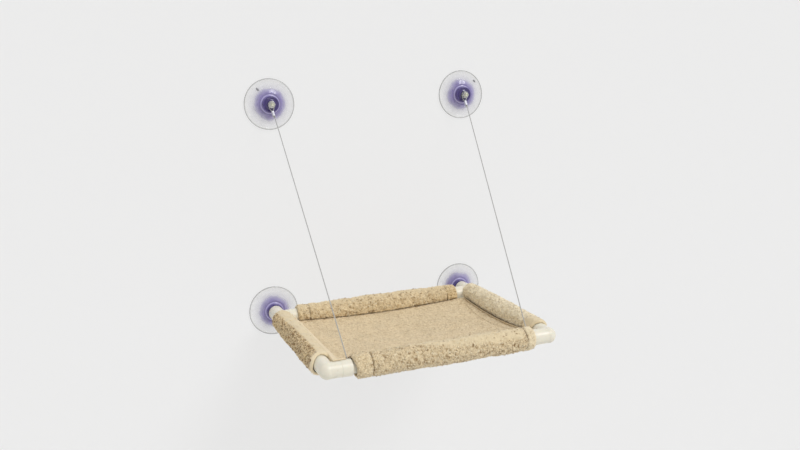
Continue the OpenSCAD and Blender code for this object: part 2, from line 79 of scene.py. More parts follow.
lens = bpy.data.cameras.new("view_camera")
lens.sensor_width = 36
lens.lens = 39.36
lens.clip_start = 0.01
camera = in_scene("view_camera", lens)
camera.matrix_world = Matrix((
    (right.x, up.x, -ahead.x, -0.65249),
    (right.y, up.y, -ahead.y, -1.96122),
    (right.z, up.z, -ahead.z, 0.58067),
    (0, 0, 0, 1)))
bpy.context.scene.camera = camera
print("camera at", [round(x, 3) for x in camera.matrix_world.translation])

# %% [markdown]
# ## Sizes that several pieces share
# The same sizes as the solids have. The glass is the plane y = 0 and the room lies towards -Y.
# Heights above the glass are positive numbers that are turned into -Y when a piece is placed.

# %% Shared sizes
LEFT, RIGHT = -1, 1
SIDE_NAME = {LEFT: "left", RIGHT: "right"}
side_x, front_y, rear_y = 237.5, -445.0, -66.0  # the frame's tubes, in millimetres
half_spacing, bed_reach, rear_reach = side_x * MM, -front_y * MM, -rear_y * MM
cup_rise = 480 * MM
elbow_reach = 48 * MM
tee_reach = 41.5 * MM
socket_depth = 22 * MM
elbow_floor, tee_floor = elbow_reach - socket_depth, tee_reach - socket_depth
collar_r = 16.7 * MM
body_r = 16.2 * MM
cup_r, rim_r, skirt_root, skirt_top = 57.5, 0.9, 26, 8.5  # a cup's outline, in millimetres
upper_x = {LEFT: -218.5 * MM, RIGHT: 255.5 * MM}
cups = {
    "upper_left": (upper_x[LEFT], cup_rise), "upper_right": (upper_x[RIGHT], cup_rise),
    "lower_left": (-half_spacing, 0.0), "lower_right": (half_spacing, 0.0)}
eye_h = 22.8 * MM
print("cups at", {k: tuple(round(x, 4) for x in v) for k, v in cups.items()})

# %% [markdown]
# ## Small helpers for meshes and materials
# A mesh object is made from points and faces. Its place is in its points, so the object itself stays at
# the origin. A material is a set of nodes, and `put` adds one node with its settings and inputs. Colours
# are written as they look on a screen, from 0 to 255, and turned into the linear numbers of a shader.

# %% Mesh helpers
def mesh_object(name, points, faces, edges=()):
    mesh = bpy.data.meshes.new(name)
    mesh.from_pydata([tuple(p) for p in points], edges, [tuple(f) for f in faces])
    mesh.polygons.foreach_set("use_smooth", [True] * len(mesh.polygons))
    mesh.update()
    return in_scene(name, mesh)


def face_outwards(obj, weld=False):
    shape = bmesh.new()
    shape.from_mesh(obj.data)
    if weld:
        bmesh.ops.remove_doubles(shape, verts=shape.verts, dist=1e-6)
    bmesh.ops.recalc_face_normals(shape, faces=shape.faces)
    shape.to_mesh(obj.data)
    shape.free()
    return obj


def set_uvs(obj, name, uvs):
    obj.data.uv_layers.new(name=name).data.foreach_set("uv", [x for uv in uvs for x in uv])


def circle(sides, count=None):
    """Angles of the points round a circle, as many as it has sides or count says."""
    return [FULL * k / sides for k in range(count or sides)]


def ring_faces(rings, sides, closed=False):
    """Faces between rings of points, and from the last ring back to the first where closed."""
    return [(i * sides + k, i * sides + (k + 1) % sides, j * sides + (k + 1) % sides, j * sides + k)
            for i, j in ((i, (i + 1) % rings) for i in range(rings if closed else rings - 1))
            for k in range(sides)]


def settle(body, slot, *pieces):
    """Let each piece ride on a body. The slot is not used."""
    for piece in pieces:
        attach(piece, body)

# %% Node helpers
def srgb(r, g, b):
    def linear(c):
        c = c / 255
        return c / 12.92 if c <= 0.04045 else ((c + 0.055) / 1.055) ** 2.4
    return (linear(r), linear(g), linear(b), 1.0)


def fill(tree, sockets, values):
    for key, value in values.items():
        if isinstance(value, bpy.types.NodeSocket):
            tree.links.new(value, sockets[key])
        else:
            sockets[key].default_value = value


def put(tree, kind, inputs=None, **settings):
    node = tree.nodes.new(kind)
    for key, value in settings.items():
        setattr(node, key, value)
    fill(tree, node.inputs, inputs or {})
    return node


def use_group(tree, group, inputs):
    return put(tree, "ShaderNodeGroup", inputs, node_tree=group).outputs


def maths(tree, operation, a, b=0.0, c=0.0):
    return put(tree, "ShaderNodeMath", {0: a, 1: b, 2: c}, operation=operation).outputs[0]


def noise_node(tree, where, scale, detail, roughness=0.5):
    return put(tree, "ShaderNodeTexNoise",
               {"Vector": where, "Scale": scale, "Detail": detail, "Roughness": roughness}).outputs


def kept_value(tree, name):
    return put(tree, "ShaderNodeAttribute", attribute_name=name).outputs["Fac"]


def ramp(tree, factor, stops):
    node = put(tree, "ShaderNodeValToRGB", {"Fac": factor})
    while len(node.color_ramp.elements) < len(stops):
        node.color_ramp.elements.new(1.0)
    for element, (place, colour) in zip(node.color_ramp.elements, stops):
        element.position = place
        element.color = colour if hasattr(colour, "__len__") else (colour, colour, colour, 1)
    return node.outputs["Color"]


def grey_of(tree, level):
    return put(tree, "ShaderNodeCombineColor", {0: level, 1: level, 2: level}).outputs[0]


def blend_colours(tree, factor, a, b, blend_type="MIX"):
    return put(tree, "ShaderNodeMix", {0: factor, 6: a, 7: b},
               data_type="RGBA", blend_type=blend_type).outputs[2]


def bump(tree, height, strength, distance):
    return put(tree, "ShaderNodeBump",
               {"Height": height, "Strength": strength, "Distance": distance}).outputs[0]


def new_material(name):
    material = bpy.data.materials.new(name)
    material.use_nodes = True
    tree = material.node_tree
    tree.nodes.clear()
    return material, tree


def new_finish(name, **settings):
    """A material with one main shader. Its settings are given as Metallic=1.0, or Coat_Weight=0.5."""
    material, tree = new_material(name)
    shader = put(tree, "ShaderNodeBsdfPrincipled",
                 {key.replace("_", " "): value for key, value in settings.items()})
    put(tree, "ShaderNodeOutputMaterial", {"Surface": shader.outputs[0]})
    return material, tree, shader.inputs, put(tree, "ShaderNodeTexCoord").outputs["Object"]


def node_group(name, kind, inputs, outputs):
    tree = bpy.data.node_groups.new(name, kind)
    for direction, rows in (("INPUT", inputs), ("OUTPUT", outputs)):
        for label, socket_kind, *value in rows:
            socket = tree.interface.new_socket(label, in_out=direction, socket_type=socket_kind)
            if value:
                socket.default_value = value[0]
    return tree, put(tree, "NodeGroupInput").outputs, put(tree, "NodeGroupOutput").inputs


FLOAT, WHOLE, COLOUR, VECTOR, SHAPE, FINISH = (
    "NodeSocket" + kind for kind in ("Float", "Int", "Color", "Vector", "Geometry", "Material"))
WHITE, BLACK = (1, 1, 1, 1), (0, 0, 0, 1)

# %% [markdown]
# ## Shared finishes
# Three effects turn up in several materials, so each is a shader node group, built once.
# *Soft mottle* drifts a colour and a roughness as moulded plastic and vinyl do. *Fine scratches* are
# the faint lines that handling leaves on metal and gloss. *Curly pile* is the look of fleece: painted
# light on the raised curl tips, painted shade in the gaps between the tufts and a slow drift of tone
# over the cloth.

# %% Soft mottle
mottle, given, out = node_group(
    "soft_mottle", "ShaderNodeTree",
    [("Vector", VECTOR), ("Colour", COLOUR, WHITE), ("Drift", FLOAT, 0.05),
     ("Patch Size", FLOAT, 0.03), ("Roughness", FLOAT, 0.4), ("Roughness Drift", FLOAT, 0.1)],
    [("Colour", COLOUR), ("Roughness", FLOAT), ("Height", FLOAT)])
patch_scale = maths(mottle, "DIVIDE", 1.0, given["Patch Size"])
patches = noise_node(mottle, given["Vector"], patch_scale, 3.0, 0.55)
fine = noise_node(mottle, given["Vector"], maths(mottle, "MULTIPLY", patch_scale, 14.0), 2.0, 0.6)
centred = maths(mottle, "SUBTRACT", patches[0], 0.5)
lift = maths(mottle, "MULTIPLY_ADD", centred, maths(mottle, "MULTIPLY", given["Drift"], 4.0), 1.0)
fill(mottle, out, {
    "Colour": blend_colours(mottle, 1.0, given["Colour"], grey_of(mottle, lift), "MULTIPLY"),
    "Roughness": maths(mottle, "MULTIPLY_ADD", centred, given["Roughness Drift"], given["Roughness"]),
    "Height": fine[0]})
print("finish:", mottle.name)


def mottled(tree, where, colour, drift, patch, roughness, wander):
    return use_group(tree, mottle, {"Vector": where, "Colour": colour, "Drift": drift, "Patch Size": patch,
                                    "Roughness": roughness, "Roughness Drift": wander})

# %% Fine scratches
scratches, given, out = node_group(
    "fine_scratches", "ShaderNodeTree",
    [("Vector", VECTOR), ("Spacing", FLOAT, 0.004), ("Amount", FLOAT, 0.5)], [("Mask", FLOAT)])
lines = []
for turn in (0.35, 1.9):
    turned_place = put(scratches, "ShaderNodeMapping", {
        "Vector": given["Vector"], "Rotation": (turn, turn * 0.6, turn * 1.7), "Scale": (1, 14, 1)})
    spacing = maths(scratches, "DIVIDE", 1.0, given["Spacing"])
    cells = noise_node(scratches, turned_place.outputs[0], spacing, 2.0, 0.7)
    lines.append(maths(scratches, "GREATER_THAN", cells[0], 0.66))
both = maths(scratches, "MAXIMUM", *lines)
fill(scratches, out, {"Mask": maths(scratches, "MULTIPLY", both, given["Amount"])})
print("finish:", scratches.name)

# %% Curly pile
pile, given, out = node_group(
    "curly_pile", "ShaderNodeTree",
    [("Vector", VECTOR), ("Base", COLOUR, WHITE), ("Gap", COLOUR, BLACK), ("Tip", COLOUR, WHITE),
     ("Tuft Size", FLOAT, 0.006), ("Curl Size", FLOAT, 0.0018), ("Depth", FLOAT, 0.0),
     ("Gap Amount", FLOAT, 0.6), ("Tip Amount", FLOAT, 0.5)],
    [("Colour", COLOUR), ("Height", FLOAT)])


def pile_vector(operation, a, b):
    second = "Scale" if operation == "SCALE" else 1
    return put(pile, "ShaderNodeVectorMath", {0: a, second: b}, operation=operation).outputs[0]


def pile_cells(size, feature, **more):
    cells = put(pile, "ShaderNodeTexVoronoi",
                {"Vector": moved, "Scale": maths(pile, "DIVIDE", 1.0, given[size])}, feature=feature)
    fill(pile, cells.inputs, more)
    return cells.outputs["Distance"]


def pile_gap(distance, limit):
    return maths(pile, "SMOOTH_MAX", maths(pile, "SUBTRACT", distance, limit), 0.0, 0.1)


def pile_range(value, low, high, to_low=0.0, to_high=1.0):
    return put(pile, "ShaderNodeMapRange", {"Value": value, "From Min": low, "From Max": high,
                                            "To Min": to_low, "To Max": to_high}).outputs[0]


bend = noise_node(pile, given["Vector"], maths(pile, "DIVIDE", 1.0, given["Tuft Size"]), 2.0)
sway = pile_vector("SCALE", pile_vector("SUBTRACT", bend["Color"], (0.5, 0.5, 0.5)), 0.004)
moved = pile_vector("ADD", given["Vector"], sway)
curls = pile_cells("Curl Size", "SMOOTH_F1", Smoothness=0.35)
tufts = pile_cells("Tuft Size", "F1")
drift = noise_node(pile, given["Vector"], 28.0, 2.0)
# Painted shade: the gaps between curls and tufts, deepened by the Depth input, blend towards the gap colour.
gap = maths(pile, "MULTIPLY_ADD", pile_gap(curls, 0.42), 1.6,
            maths(pile, "MULTIPLY", pile_gap(tufts, 0.45), 1.6))
gap = maths(pile, "ADD", gap, given["Depth"])
painted_shade_mask = put(pile, "ShaderNodeClamp", {"Value": maths(pile, "MULTIPLY", gap, given["Gap Amount"])})
# Painted light: the raised middle of each curl blends towards the tip colour.
painted_light_mask = maths(pile, "MULTIPLY", pile_range(curls, 0.38, 0.05), given["Tip Amount"])
tinted = blend_colours(pile, painted_light_mask, given["Base"], given["Tip"])
tinted = blend_colours(pile, painted_shade_mask.outputs[0], tinted, given["Gap"])
shade = grey_of(pile, pile_range(drift[0], 0.3, 0.7, 0.94, 1.05))
low = maths(pile, "ADD", gap, maths(pile, "MULTIPLY", curls, 0.5))
fill(pile, out, {"Colour": blend_colours(pile, 1.0, tinted, shade, "MULTIPLY"),
                 "Height": maths(pile, "SUBTRACT", 1.0, low)})
print("finish:", pile.name)

# %% [markdown]
# ## Materials
# Each real finish gets one material. The vinyl is see-through by its alpha, which also works in front of
# the pale wall, where true refraction would turn dark. Its colours run with the distance from the middle
# of the cup, which each cup's own UV map carries, because the violet core shows through the clear lip, a
# painted highlight ring lies on the hub's flare and painted shade darkens the rim.

# %% Metal and plastic
def handled_material(name, colour, roughness, drift, patch, wander, scratch_spacing, scratch, mark,
                     mark_roughness, relief, relief_depth, **settings):
    """A mottled finish with scratches in the colour of mark."""
    material, tree, shader, where = new_finish(name, **settings)
    body = mottled(tree, where, colour, drift, patch, roughness, wander)
    marks = use_group(tree, scratches, {"Vector": where, "Spacing": scratch_spacing, "Amount": scratch})
    fill(tree, shader, {
        "Base Color": blend_colours(tree, marks["Mask"], body["Colour"], mark),
        "Roughness": maths(tree, "MULTIPLY_ADD", marks["Mask"], mark_roughness, body["Roughness"]),
        "Normal": bump(tree, body["Height"], relief, relief_depth)})
    return material


def metal_material(name, colour, roughness, patch=6 * MM, scratch=0.25):
    return handled_material(name, colour, roughness, 0.05, patch, 0.25, 3 * MM, scratch,
                            srgb(120, 118, 110), 0.2, 0.12, 0.1 * MM, Metallic=1.0)


def plastic_material(name, colour, roughness):
    return handled_material(name, colour, roughness, 0.022, 34 * MM, 0.18, 14 * MM, 0.1,
                            srgb(196, 188, 170), 0.0, 0.1, 0.15 * MM, Subsurface_Weight=0.12,
                            Subsurface_Radius=(0.004, 0.003, 0.002), Specular_IOR_Level=0.45)


zinc = metal_material("zinc_plate", srgb(214, 214, 212), 0.26)
yellow_zinc = metal_material("yellow_zinc_stud", srgb(212, 212, 194), 0.3)
soft_metal = metal_material("crimped_aluminium", srgb(204, 204, 212), 0.5, 3 * MM, 0.15)
ivory = plastic_material("ivory_plastic_gloss", srgb(233, 228, 212), 0.3)
grey_nub = plastic_material("grey_nub", srgb(128, 128, 134), 0.35)
print("metal and plastic are ready")

# %% Clear and violet vinyl
def vinyl_material(name, stops, alphas, roughness):
    """Stops and alphas are pairs of a distance from the cup's axis, in millimetres, and a value."""
    material, tree, shader, where = new_finish(name, Coat_Weight=0.5, Coat_Roughness=0.06)
    uv = put(tree, "ShaderNodeUVMap", uv_map="reach").outputs[0]
    reach = put(tree, "ShaderNodeSeparateXYZ", {0: uv}).outputs[0]
    waver = noise_node(tree, where, 34.0, 4.0)[0]
    inward = maths(tree, "MULTIPLY", maths(tree, "SUBTRACT", 1.0, reach), 0.45 if alphas else 0.0)
    reach = maths(tree, "MULTIPLY_ADD", maths(tree, "SUBTRACT", waver, 0.5), inward, reach)
    body = mottled(tree, where, ramp(tree, reach, [(r / cup_r, c) for r, c in stops]),
                   0.03, 16 * MM, roughness, 0.16)
    wave = noise_node(tree, where, 45.0, 1.0)[0]
    fill(tree, shader, {"Base Color": body["Colour"], "Roughness": body["Roughness"],
                        "Normal": bump(tree, wave, 0.5, 0.8 * MM)})
    if alphas:
        alpha = ramp(tree, reach, [(r / cup_r, a) for r, a in alphas])
        # Painted reflection: the alpha varies in blotches, as grey reflections on the clear vinyl.
        blotchy_painted_reflection = maths(tree, "MULTIPLY_ADD", noise_node(tree, where, 95.0, 2.0)[0], 0.8, 0.6)
        fill(tree, shader, {"Alpha": maths(tree, "MULTIPLY", alpha, blotchy_painted_reflection)})
    return material


# The grey that darkens from 55.5 mm to the rim is painted shade along the edge, where clear vinyl looks dark
# by refraction.
clear_vinyl = vinyl_material(
    "clear_vinyl_lip",
    [(0, srgb(120, 112, 165)), (26, srgb(142, 132, 188)), (33, srgb(166, 160, 202)),
     (38, srgb(192, 190, 208)), (50, srgb(202, 201, 208)), (55.5, srgb(206, 207, 206)),
     (57.5, srgb(136, 138, 136))],
    [(0, 0.9), (26, 0.75), (33, 0.52), (38, 0.26), (46, 0.15), (54.5, 0.11), (56.4, 0.45), (57.5, 0.75)],
    0.16)
# The lighter lilac from 19.6 to 22 mm, on the flare at the hub's foot, is a painted highlight ring.
violet_vinyl = vinyl_material(
    "violet_vinyl_hub",
    [(0, srgb(66, 54, 112)), (14, srgb(66, 54, 114)), (17.8, srgb(72, 60, 122)),
     (18.55, srgb(80, 68, 130)), (19.6, srgb(164, 156, 206)), (22, srgb(190, 184, 224))], None, 0.2)
print("vinyl is ready")

# %% [markdown]
# ## The two cables
# Each cable is one length of coated steel rope. It starts as a cut tail, goes round the stud, comes
# back through a crimped ferrule, runs down to the front rail and ends in a stop inside it. The route
# repeats the solid's own points. The tube is swept along it with rings that turn as little as they
# can, so the twisted strands run evenly.

# %% Route of a cable
cable_r = 1 * MM
loop_drop = 9 * MM
eye_loop_r = 5.1 * MM
strand_offset = 1.1 * MM
ferrule_len = 14 * MM
upper_loop_len = 8 * MM
stop_len, stop_seat = 12 * MM, 9.811 * MM
cable_tail = 4 * MM
cable_corner = 3 * MM
cable_rail_x = half_spacing - elbow_reach + 3.5 * MM


def eye_foot(side):
    return Vector((upper_x[side], -eye_h, cup_rise - loop_drop))


def rail_foot(side):
    return Vector((side * cable_rail_x, -bed_reach, 0))


def cable_run(side):
    return (rail_foot(side) - eye_foot(side)).normalized()


def upper_across(side):
    run = cable_run(side)
    return (Vector((1, 0, 0)) - run * run.x).normalized()


def rounded(a, b, c, r, n=5):
    p, q = b + (a - b).normalized() * r, b + (c - b).normalized() * r
    return [p * (1 - t) ** 2 + b * 2 * t * (1 - t) + q * t ** 2 for t in (i / n for i in range(n + 1))]


def cable_route(side):
    foot, rail, run = eye_foot(side), rail_foot(side), cable_run(side)
    across = upper_across(side) * strand_offset
    sideways, rise = Vector((eye_loop_r, 0, 0)), Vector((0, 0, loop_drop))
    top_near = foot + run * upper_loop_len
    top_far = top_near + run * ferrule_len
    points = [top_far - across + run * cable_tail, top_far - across, top_near - across]
    points += rounded(top_near - across, foot - sideways, foot - sideways + rise, cable_corner)
    points += [foot + rise + eye_loop_r * Vector((math.cos(a), 0, math.sin(a)))
               for a in (math.pi * (1 - i / 20) for i in range(21))]
    points += rounded(foot + sideways + rise, foot + sideways, top_near + across, cable_corner)
    points += [(top_near + across).lerp(rail, i / 60) for i in range(61)]
    return points + [rail + run * (stop_len - stop_seat + cable_r)]


def route_length(points):
    return sum((b - a).length for a, b in zip(points, points[1:]))

# %% Tube along a route
def tube_along(name, points, r, sides):
    last, out, verts, ways = len(points) - 1, Vector((0, 1, 0)), [], []
    for i, p in enumerate(points):
        forward = (points[min(i + 1, last)] - points[max(i - 1, 0)]).normalized()
        out = (out - forward * out.dot(forward)).normalized()
        across = forward.cross(out)
        ways.append(ways[-1] + (p - points[i - 1]).length if i else 0.0)
        verts += [p + r * (out * math.cos(a) + across * math.sin(a)) for a in circle(sides)]
    uvs = [uv for s0, s1 in zip(ways, ways[1:]) for k in range(sides)
           for uv in ((s0, k / sides), (s0, (k + 1) / sides), (s1, (k + 1) / sides), (s1, k / sides))]
    ends = [range(sides)[::-1], range(last * sides, (last + 1) * sides)]
    obj = mesh_object(name, verts, ring_faces(last + 1, sides) + ends)
    set_uvs(obj, "along", uvs + [(0, 0)] * (2 * sides))
    return obj

# %% Coated rope finish
lay_length, strand_count = 11 * MM, 6
rope, tree, shader, where = new_finish("coated_steel_rope", Coat_Weight=0.4)
along = put(tree, "ShaderNodeSeparateXYZ", {0: put(tree, "ShaderNodeUVMap", uv_map="along").outputs[0]})
twist = maths(tree, "ADD", maths(tree, "MULTIPLY", along.outputs[0], FULL / lay_length),
              maths(tree, "MULTIPLY", along.outputs[1], FULL * strand_count))
strands = maths(tree, "MULTIPLY_ADD", maths(tree, "SINE", twist), 0.5, 0.5)
grey = blend_colours(tree, strands, srgb(140, 140, 140), srgb(202, 202, 201))
coat = mottled(tree, where, grey, 0.05, 12 * MM, 0.3, 0.2)
fill(tree, shader, {"Base Color": coat["Colour"], "Roughness": coat["Roughness"],
                    "Normal": bump(tree, strands, 0.6, 0.25 * MM)})

# %% Both cables
for side in (LEFT, RIGHT):
    points = cable_route(side)
    length = route_length(points)
    cable = tube_along(SIDE_NAME[side] + "_rope", points, cable_r, 12)
    cable.data.materials.append(rope)
    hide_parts(SIDE_NAME[side] + "_cable")
    run = cable_run(side)
    low = rail_foot(side) - run * 30 * MM
    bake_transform(cable)
    print(cable.name, "length", round(length, 4), "m")

# %% [markdown]
# ## Turned pieces
# A suction cup and its hub are bodies of revolution, so each is an outline of radius and height that
# is spun round the stud's axis. The outline follows the solid's rule: from the thin rim the skirt rises
# with a power of the way in. The UV map keeps the distance from the axis, which the vinyl's colours use.

# %% Spin an outline
def turned(name, outline, x, z, segments):
    """Spin an outline of radii and heights in millimetres round the axis through x and z."""
    verts, rows, faces, uvs = [], [], [], []
    outline = [(r * MM, h * MM) for r, h in outline]
    for r, h in outline:
        if r < 1e-7:
            rows.append([len(verts)] * segments)
            verts.append((x, -h, z))
        else:
            rows.append([len(verts) + k for k in range(segments)])
            verts += [(x + r * math.cos(a), -h, z + r * math.sin(a)) for a in circle(segments)]
    for i in range(len(outline)):
        j = (i + 1) % len(outline)
        if outline[i][0] < 1e-7 and outline[j][0] < 1e-7:
            continue
        for k in range(segments):
            n = (k + 1) % segments
            corners = [(rows[i][k], i), (rows[i][n], i), (rows[j][n], j), (rows[j][k], j)]
            kept = [c for m, c in enumerate(corners) if c[0] != corners[m - 1][0]]
            faces.append([c[0] for c in kept])
            uvs += [(outline[c[1]][0] / (cup_r * MM), k / segments) for c in kept]
    obj = mesh_object(name, verts, faces)
    set_uvs(obj, "reach", uvs)
    return face_outwards(obj)


def arc_points(r0, h0, radius, a0, a1, n):
    return [(r0 + radius * math.cos(math.radians(a)), h0 + radius * math.sin(math.radians(a)))
            for a in (a0 + (a1 - a0) * i / n for i in range(n + 1))]

# %% Cup skirts
edge_r = cup_r - rim_r
lip_h, recess_r, recess_depth = 1.8, 44, 3


def bump_at(value, centre, width):
    return math.exp(-((value - centre) / width) ** 2)


def skirt_height(r):
    t = min(1.0, max(0.0, (edge_r - r) / (edge_r - skirt_root)))
    return lip_h + (skirt_top - lip_h) * t ** 2.2


skirt = arc_points(edge_r, rim_r, rim_r, 0, 60, 5)
for r in (edge_r - (edge_r - skirt_root) * i / 40 for i in range(41)):
    skirt.append((r, skirt_height(r) + 0.35 * bump_at(r, 36.5, 0.7) + 0.25 * bump_at(r, 53.5, 0.8)))
skirt += [(25.2, 8.62), (24.4, skirt_top), (23, skirt_top), (0, skirt_top)]
skirt += [(recess_r * t, recess_depth * (1 - t ** 2)) for t in (i / 14 for i in range(15))]
skirt += [(44.6, 0), (cup_r, 0)]


def oval_nub(x, z, clock, out_by, wide, tall, rows=6, sides=24):
    """A low oval dome on the skirt, at a clock angle and a way out. Wide and tall are half sizes."""
    direction = Vector((math.sin(clock), 0, math.cos(clock)))
    across = Vector((direction.z, 0, -direction.x))
    centre, points = Vector((x, 0, z)) + direction * out_by * MM, []
    for i in range(rows):
        rise = 1.3 * (1 - math.cos(math.pi / 2 * i / (rows - 1))) - 0.4
        size = MM * math.sin(math.pi / 2 * (rows - 1 - i) / (rows - 1) + 0.02)
        for a in circle(sides):
            p = centre + (across * math.cos(a) * wide + direction * math.sin(a) * tall) * size
            foot = skirt_height((p - Vector((x, 0, z))).length / MM)
            points.append((p.x, -(foot + rise) * MM, p.z))
    return points, ring_faces(rows, sides) + [range((rows - 1) * sides, rows * sides), range(sides)[::-1]]


# Clock angle, way out and half sizes of each cup's nub. The lower two are turned out of sight.
nub_forms = {"upper_left": (-36.5, 42.3, 2.2, 4.4), "upper_right": (50, 47.5, 4.4, 2.2),
             "lower_left": (140, 42.3, 2.2, 4.4), "lower_right": (-165, 42.3, 2.2, 4.4)}
for name, (x, z) in cups.items():
    cup = turned(name + "_skirt", skirt, x, z, 144)
    cup.data.materials.append(clear_vinyl)
    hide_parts(name + "_cup")
    clock, *form = nub_forms[name]
    nub = face_outwards(mesh_object(name + "_nub", *oval_nub(x, z, math.radians(clock), *form)), weld=True)
    nub.data.materials.append(grey_nub)
    settle("window_side", "clear_vinyl", cup, nub)
print("skirts:", len(cups), "with", len(skirt), "points in the outline")

# %% Hubs
hub_r, hub_h, hub_round, flare_r, flare_h = 18.5, 20, 1.6, 3.5, 3.4
hub = [(0, skirt_top)] + [
    (hub_r + flare_r - flare_r * math.sin(a), skirt_top + flare_h * (1 - math.cos(a)))
    for a in (math.pi / 2 * i / 10 for i in range(11))]
hub += arc_points(hub_r - hub_round, hub_h - hub_round, hub_round, 0, 90, 7)
hub += [(15.2, 19.98), (14.5, 19.3), (13.2, 18.9), (11.6, 18.9), (10.4, 19.4), (9.8, hub_h), (9, hub_h)]
hub += [(4.1, hub_h), (4.1, 14.1), (8.1, 14.1), (8.1, 11.9), (0, 11.9)]
for name, (x, z) in cups.items():
    piece = turned(name + "_hub_moulding", hub, x, z, 96)
    piece.data.materials.append(violet_vinyl)
    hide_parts(name + "_hub")
    if name.startswith("lower"):
        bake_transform(piece)
    else:
        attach(piece, "window_side")

# %% [markdown]
# ## Geometry Nodes for what repeats
# Threads, curls, stitches and seam lines repeat along a path or over a surface, so each comes from a
# small tree of Geometry Nodes with named sizes and a fixed seed. The tree ends in Realize Instances and
# Set Material. `grow` runs a tree on a carrier mesh and keeps the outcome as a plain mesh.

# %% Tree helpers
def geometry_tree(name, inputs):
    return node_group(name, "GeometryNodeTree", [("Geometry", SHAPE)] + inputs + [("Material", FINISH)],
                      [("Geometry", SHAPE)])


def close_tree(tree, geometry, given, out):
    real = put(tree, "GeometryNodeRealizeInstances", {0: geometry})
    smooth = put(tree, "GeometryNodeSetShadeSmooth", {0: real.outputs[0]})
    painted = put(tree, "GeometryNodeSetMaterial", {0: smooth.outputs[0], "Material": given["Material"]})
    fill(tree, out, {0: painted.outputs[0]})
    print("tree:", tree.name)


def sweep(tree, curve, profile):
    return put(tree, "GeometryNodeCurveToMesh", {
        "Curve": curve.outputs[0], "Profile Curve": profile.outputs[0], "Fill Caps": True}).outputs[0]


def disc(tree, sides, radius):
    return put(tree, "GeometryNodeCurvePrimitiveCircle", {"Resolution": sides, "Radius": radius})


def grow(name, tree, values, carrier=None):
    own = carrier is None
    carrier = mesh_object(name + "_carrier", [(0, 0, 0)], []) if own else carrier
    step = carrier.modifiers.new(tree.name, "NODES")
    step.node_group = tree
    for item in tree.interface.items_tree:
        if item.item_type == "SOCKET" and item.in_out == "INPUT" and item.name in values:
            step[item.identifier] = values[item.name]
    graph = bpy.context.evaluated_depsgraph_get()
    mesh = bpy.data.meshes.new_from_object(carrier.evaluated_get(graph), depsgraph=graph)
    mesh.name = name
    carrier.modifiers.remove(step)
    if own:
        bpy.data.objects.remove(carrier)
    return in_scene(name, mesh)


def joined(name, pieces, finish):
    shape, mesh = bmesh.new(), bpy.data.meshes.new(name)
    for piece in pieces:
        shape.from_mesh(piece.data)
        bpy.data.objects.remove(piece)
    shape.to_mesh(mesh)
    shape.free()
    mesh.materials.append(finish)
    return in_scene(name, mesh)

# %% Thread tree
thread_tree, given, out = geometry_tree("wound_thread", [
    ("Turns", FLOAT, 10.0), ("Radius", FLOAT, 0.0036), ("Length", FLOAT, 0.012),
    ("Ridge", FLOAT, 0.0004), ("Start", VECTOR, (0, 0, 0))])
spiral = put(thread_tree, "GeometryNodeCurveSpiral", {
    "Resolution": 24, "Rotations": given["Turns"], "Start Radius": given["Radius"],
    "End Radius": given["Radius"], "Height": given["Length"]})
wound = sweep(thread_tree, spiral, disc(thread_tree, 4, given["Ridge"]))
stood = put(thread_tree, "GeometryNodeTransform",
            {"Geometry": wound, "Translation": given["Start"], "Rotation": (math.pi / 2, 0, 0)})
close_tree(thread_tree, stood.outputs[0], given, out)

# %% Studs with their threads
pitch, thread_start = 1.25, 15.8
for name, (x, z) in cups.items():
    end, body = (35.6, "window_side") if name.startswith("upper") else (38.6, "bed")
    core = [(0, 12), (8, 12), (8, 14), (4, 14), (4, 15.2), (3.5, thread_start)]
    core += [(3.5, end - 0.9), (2.9, end - 0.15), (2.6, end), (1.5, end), (1.2, end - 0.2), (0, end - 1.3)]
    long = end - thread_start - 0.8
    coil = grow(name + "_stud_coil", thread_tree, {
        "Turns": long / pitch, "Radius": 3.6 * MM, "Length": long * MM, "Ridge": 0.42 * MM,
        "Start": (x, -thread_start * MM, z), "Material": yellow_zinc})
    shaft = turned(name + "_stud_core", core, x, z, 40)
    stud = joined(name + "_threaded_stud", [shaft, coil], yellow_zinc)
    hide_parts(name + "_stud")
    settle(body, "zinc_steel", stud)
print("studs are threaded to M8")

# %% Finish of the solids that stay
def finish_nodes(endings, material):
    for name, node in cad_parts.items():
        if name.endswith(endings):
            node.data.materials.clear()
            node.data.materials.append(material)


finish_nodes(("washer", "nut"), zinc)
finish_nodes(("tee", "elbow", "rail", "plug"), ivory)
finish_nodes(("lower_left_ferrule", "lower_right_ferrule"), soft_metal)

# %% [markdown]
# ## Ferrules
# A ferrule is an oval sleeve that a tool has squeezed flat in three places round the two strands. The
# solid is the plain oval. Here the oval is swept along the cable and narrowed at each squeeze.

# %% Squeezed ferrules
def ferrule(name, point, along, across, sides=40):
    normal, verts, rows = along.cross(across), [], []
    for z in (0.15 + 13.7 * i / 32 for i in range(33)):
        squeeze = sum(bump_at(z, centre, 1.0) for centre in (3.2, 7.0, 10.8))
        end = 0.35 * (math.exp(-z / 0.35) + math.exp(-(14 - z) / 0.35))
        rows.append((z, 2.4 - 0.5 * squeeze - end, 0.12 * squeeze))
    rows += [(14, 1.75, 0), (13.6, 1.15, 0), (0.4, 1.15, 0), (0, 1.75, 0)]
    for z, half_high, wider in rows:
        for a in circle(sides):
            flat = 1.1 * (1 if math.cos(a) > 0 else -1) * min(1, abs(math.cos(a)) * 3)
            wide = flat + math.cos(a) * (half_high + wider)
            verts.append(point + (along * z + across * wide + normal * math.sin(a) * half_high) * MM)
    piece = face_outwards(mesh_object(name, verts, ring_faces(len(rows), sides, closed=True)), weld=True)
    piece.data.materials.append(soft_metal)
    return piece


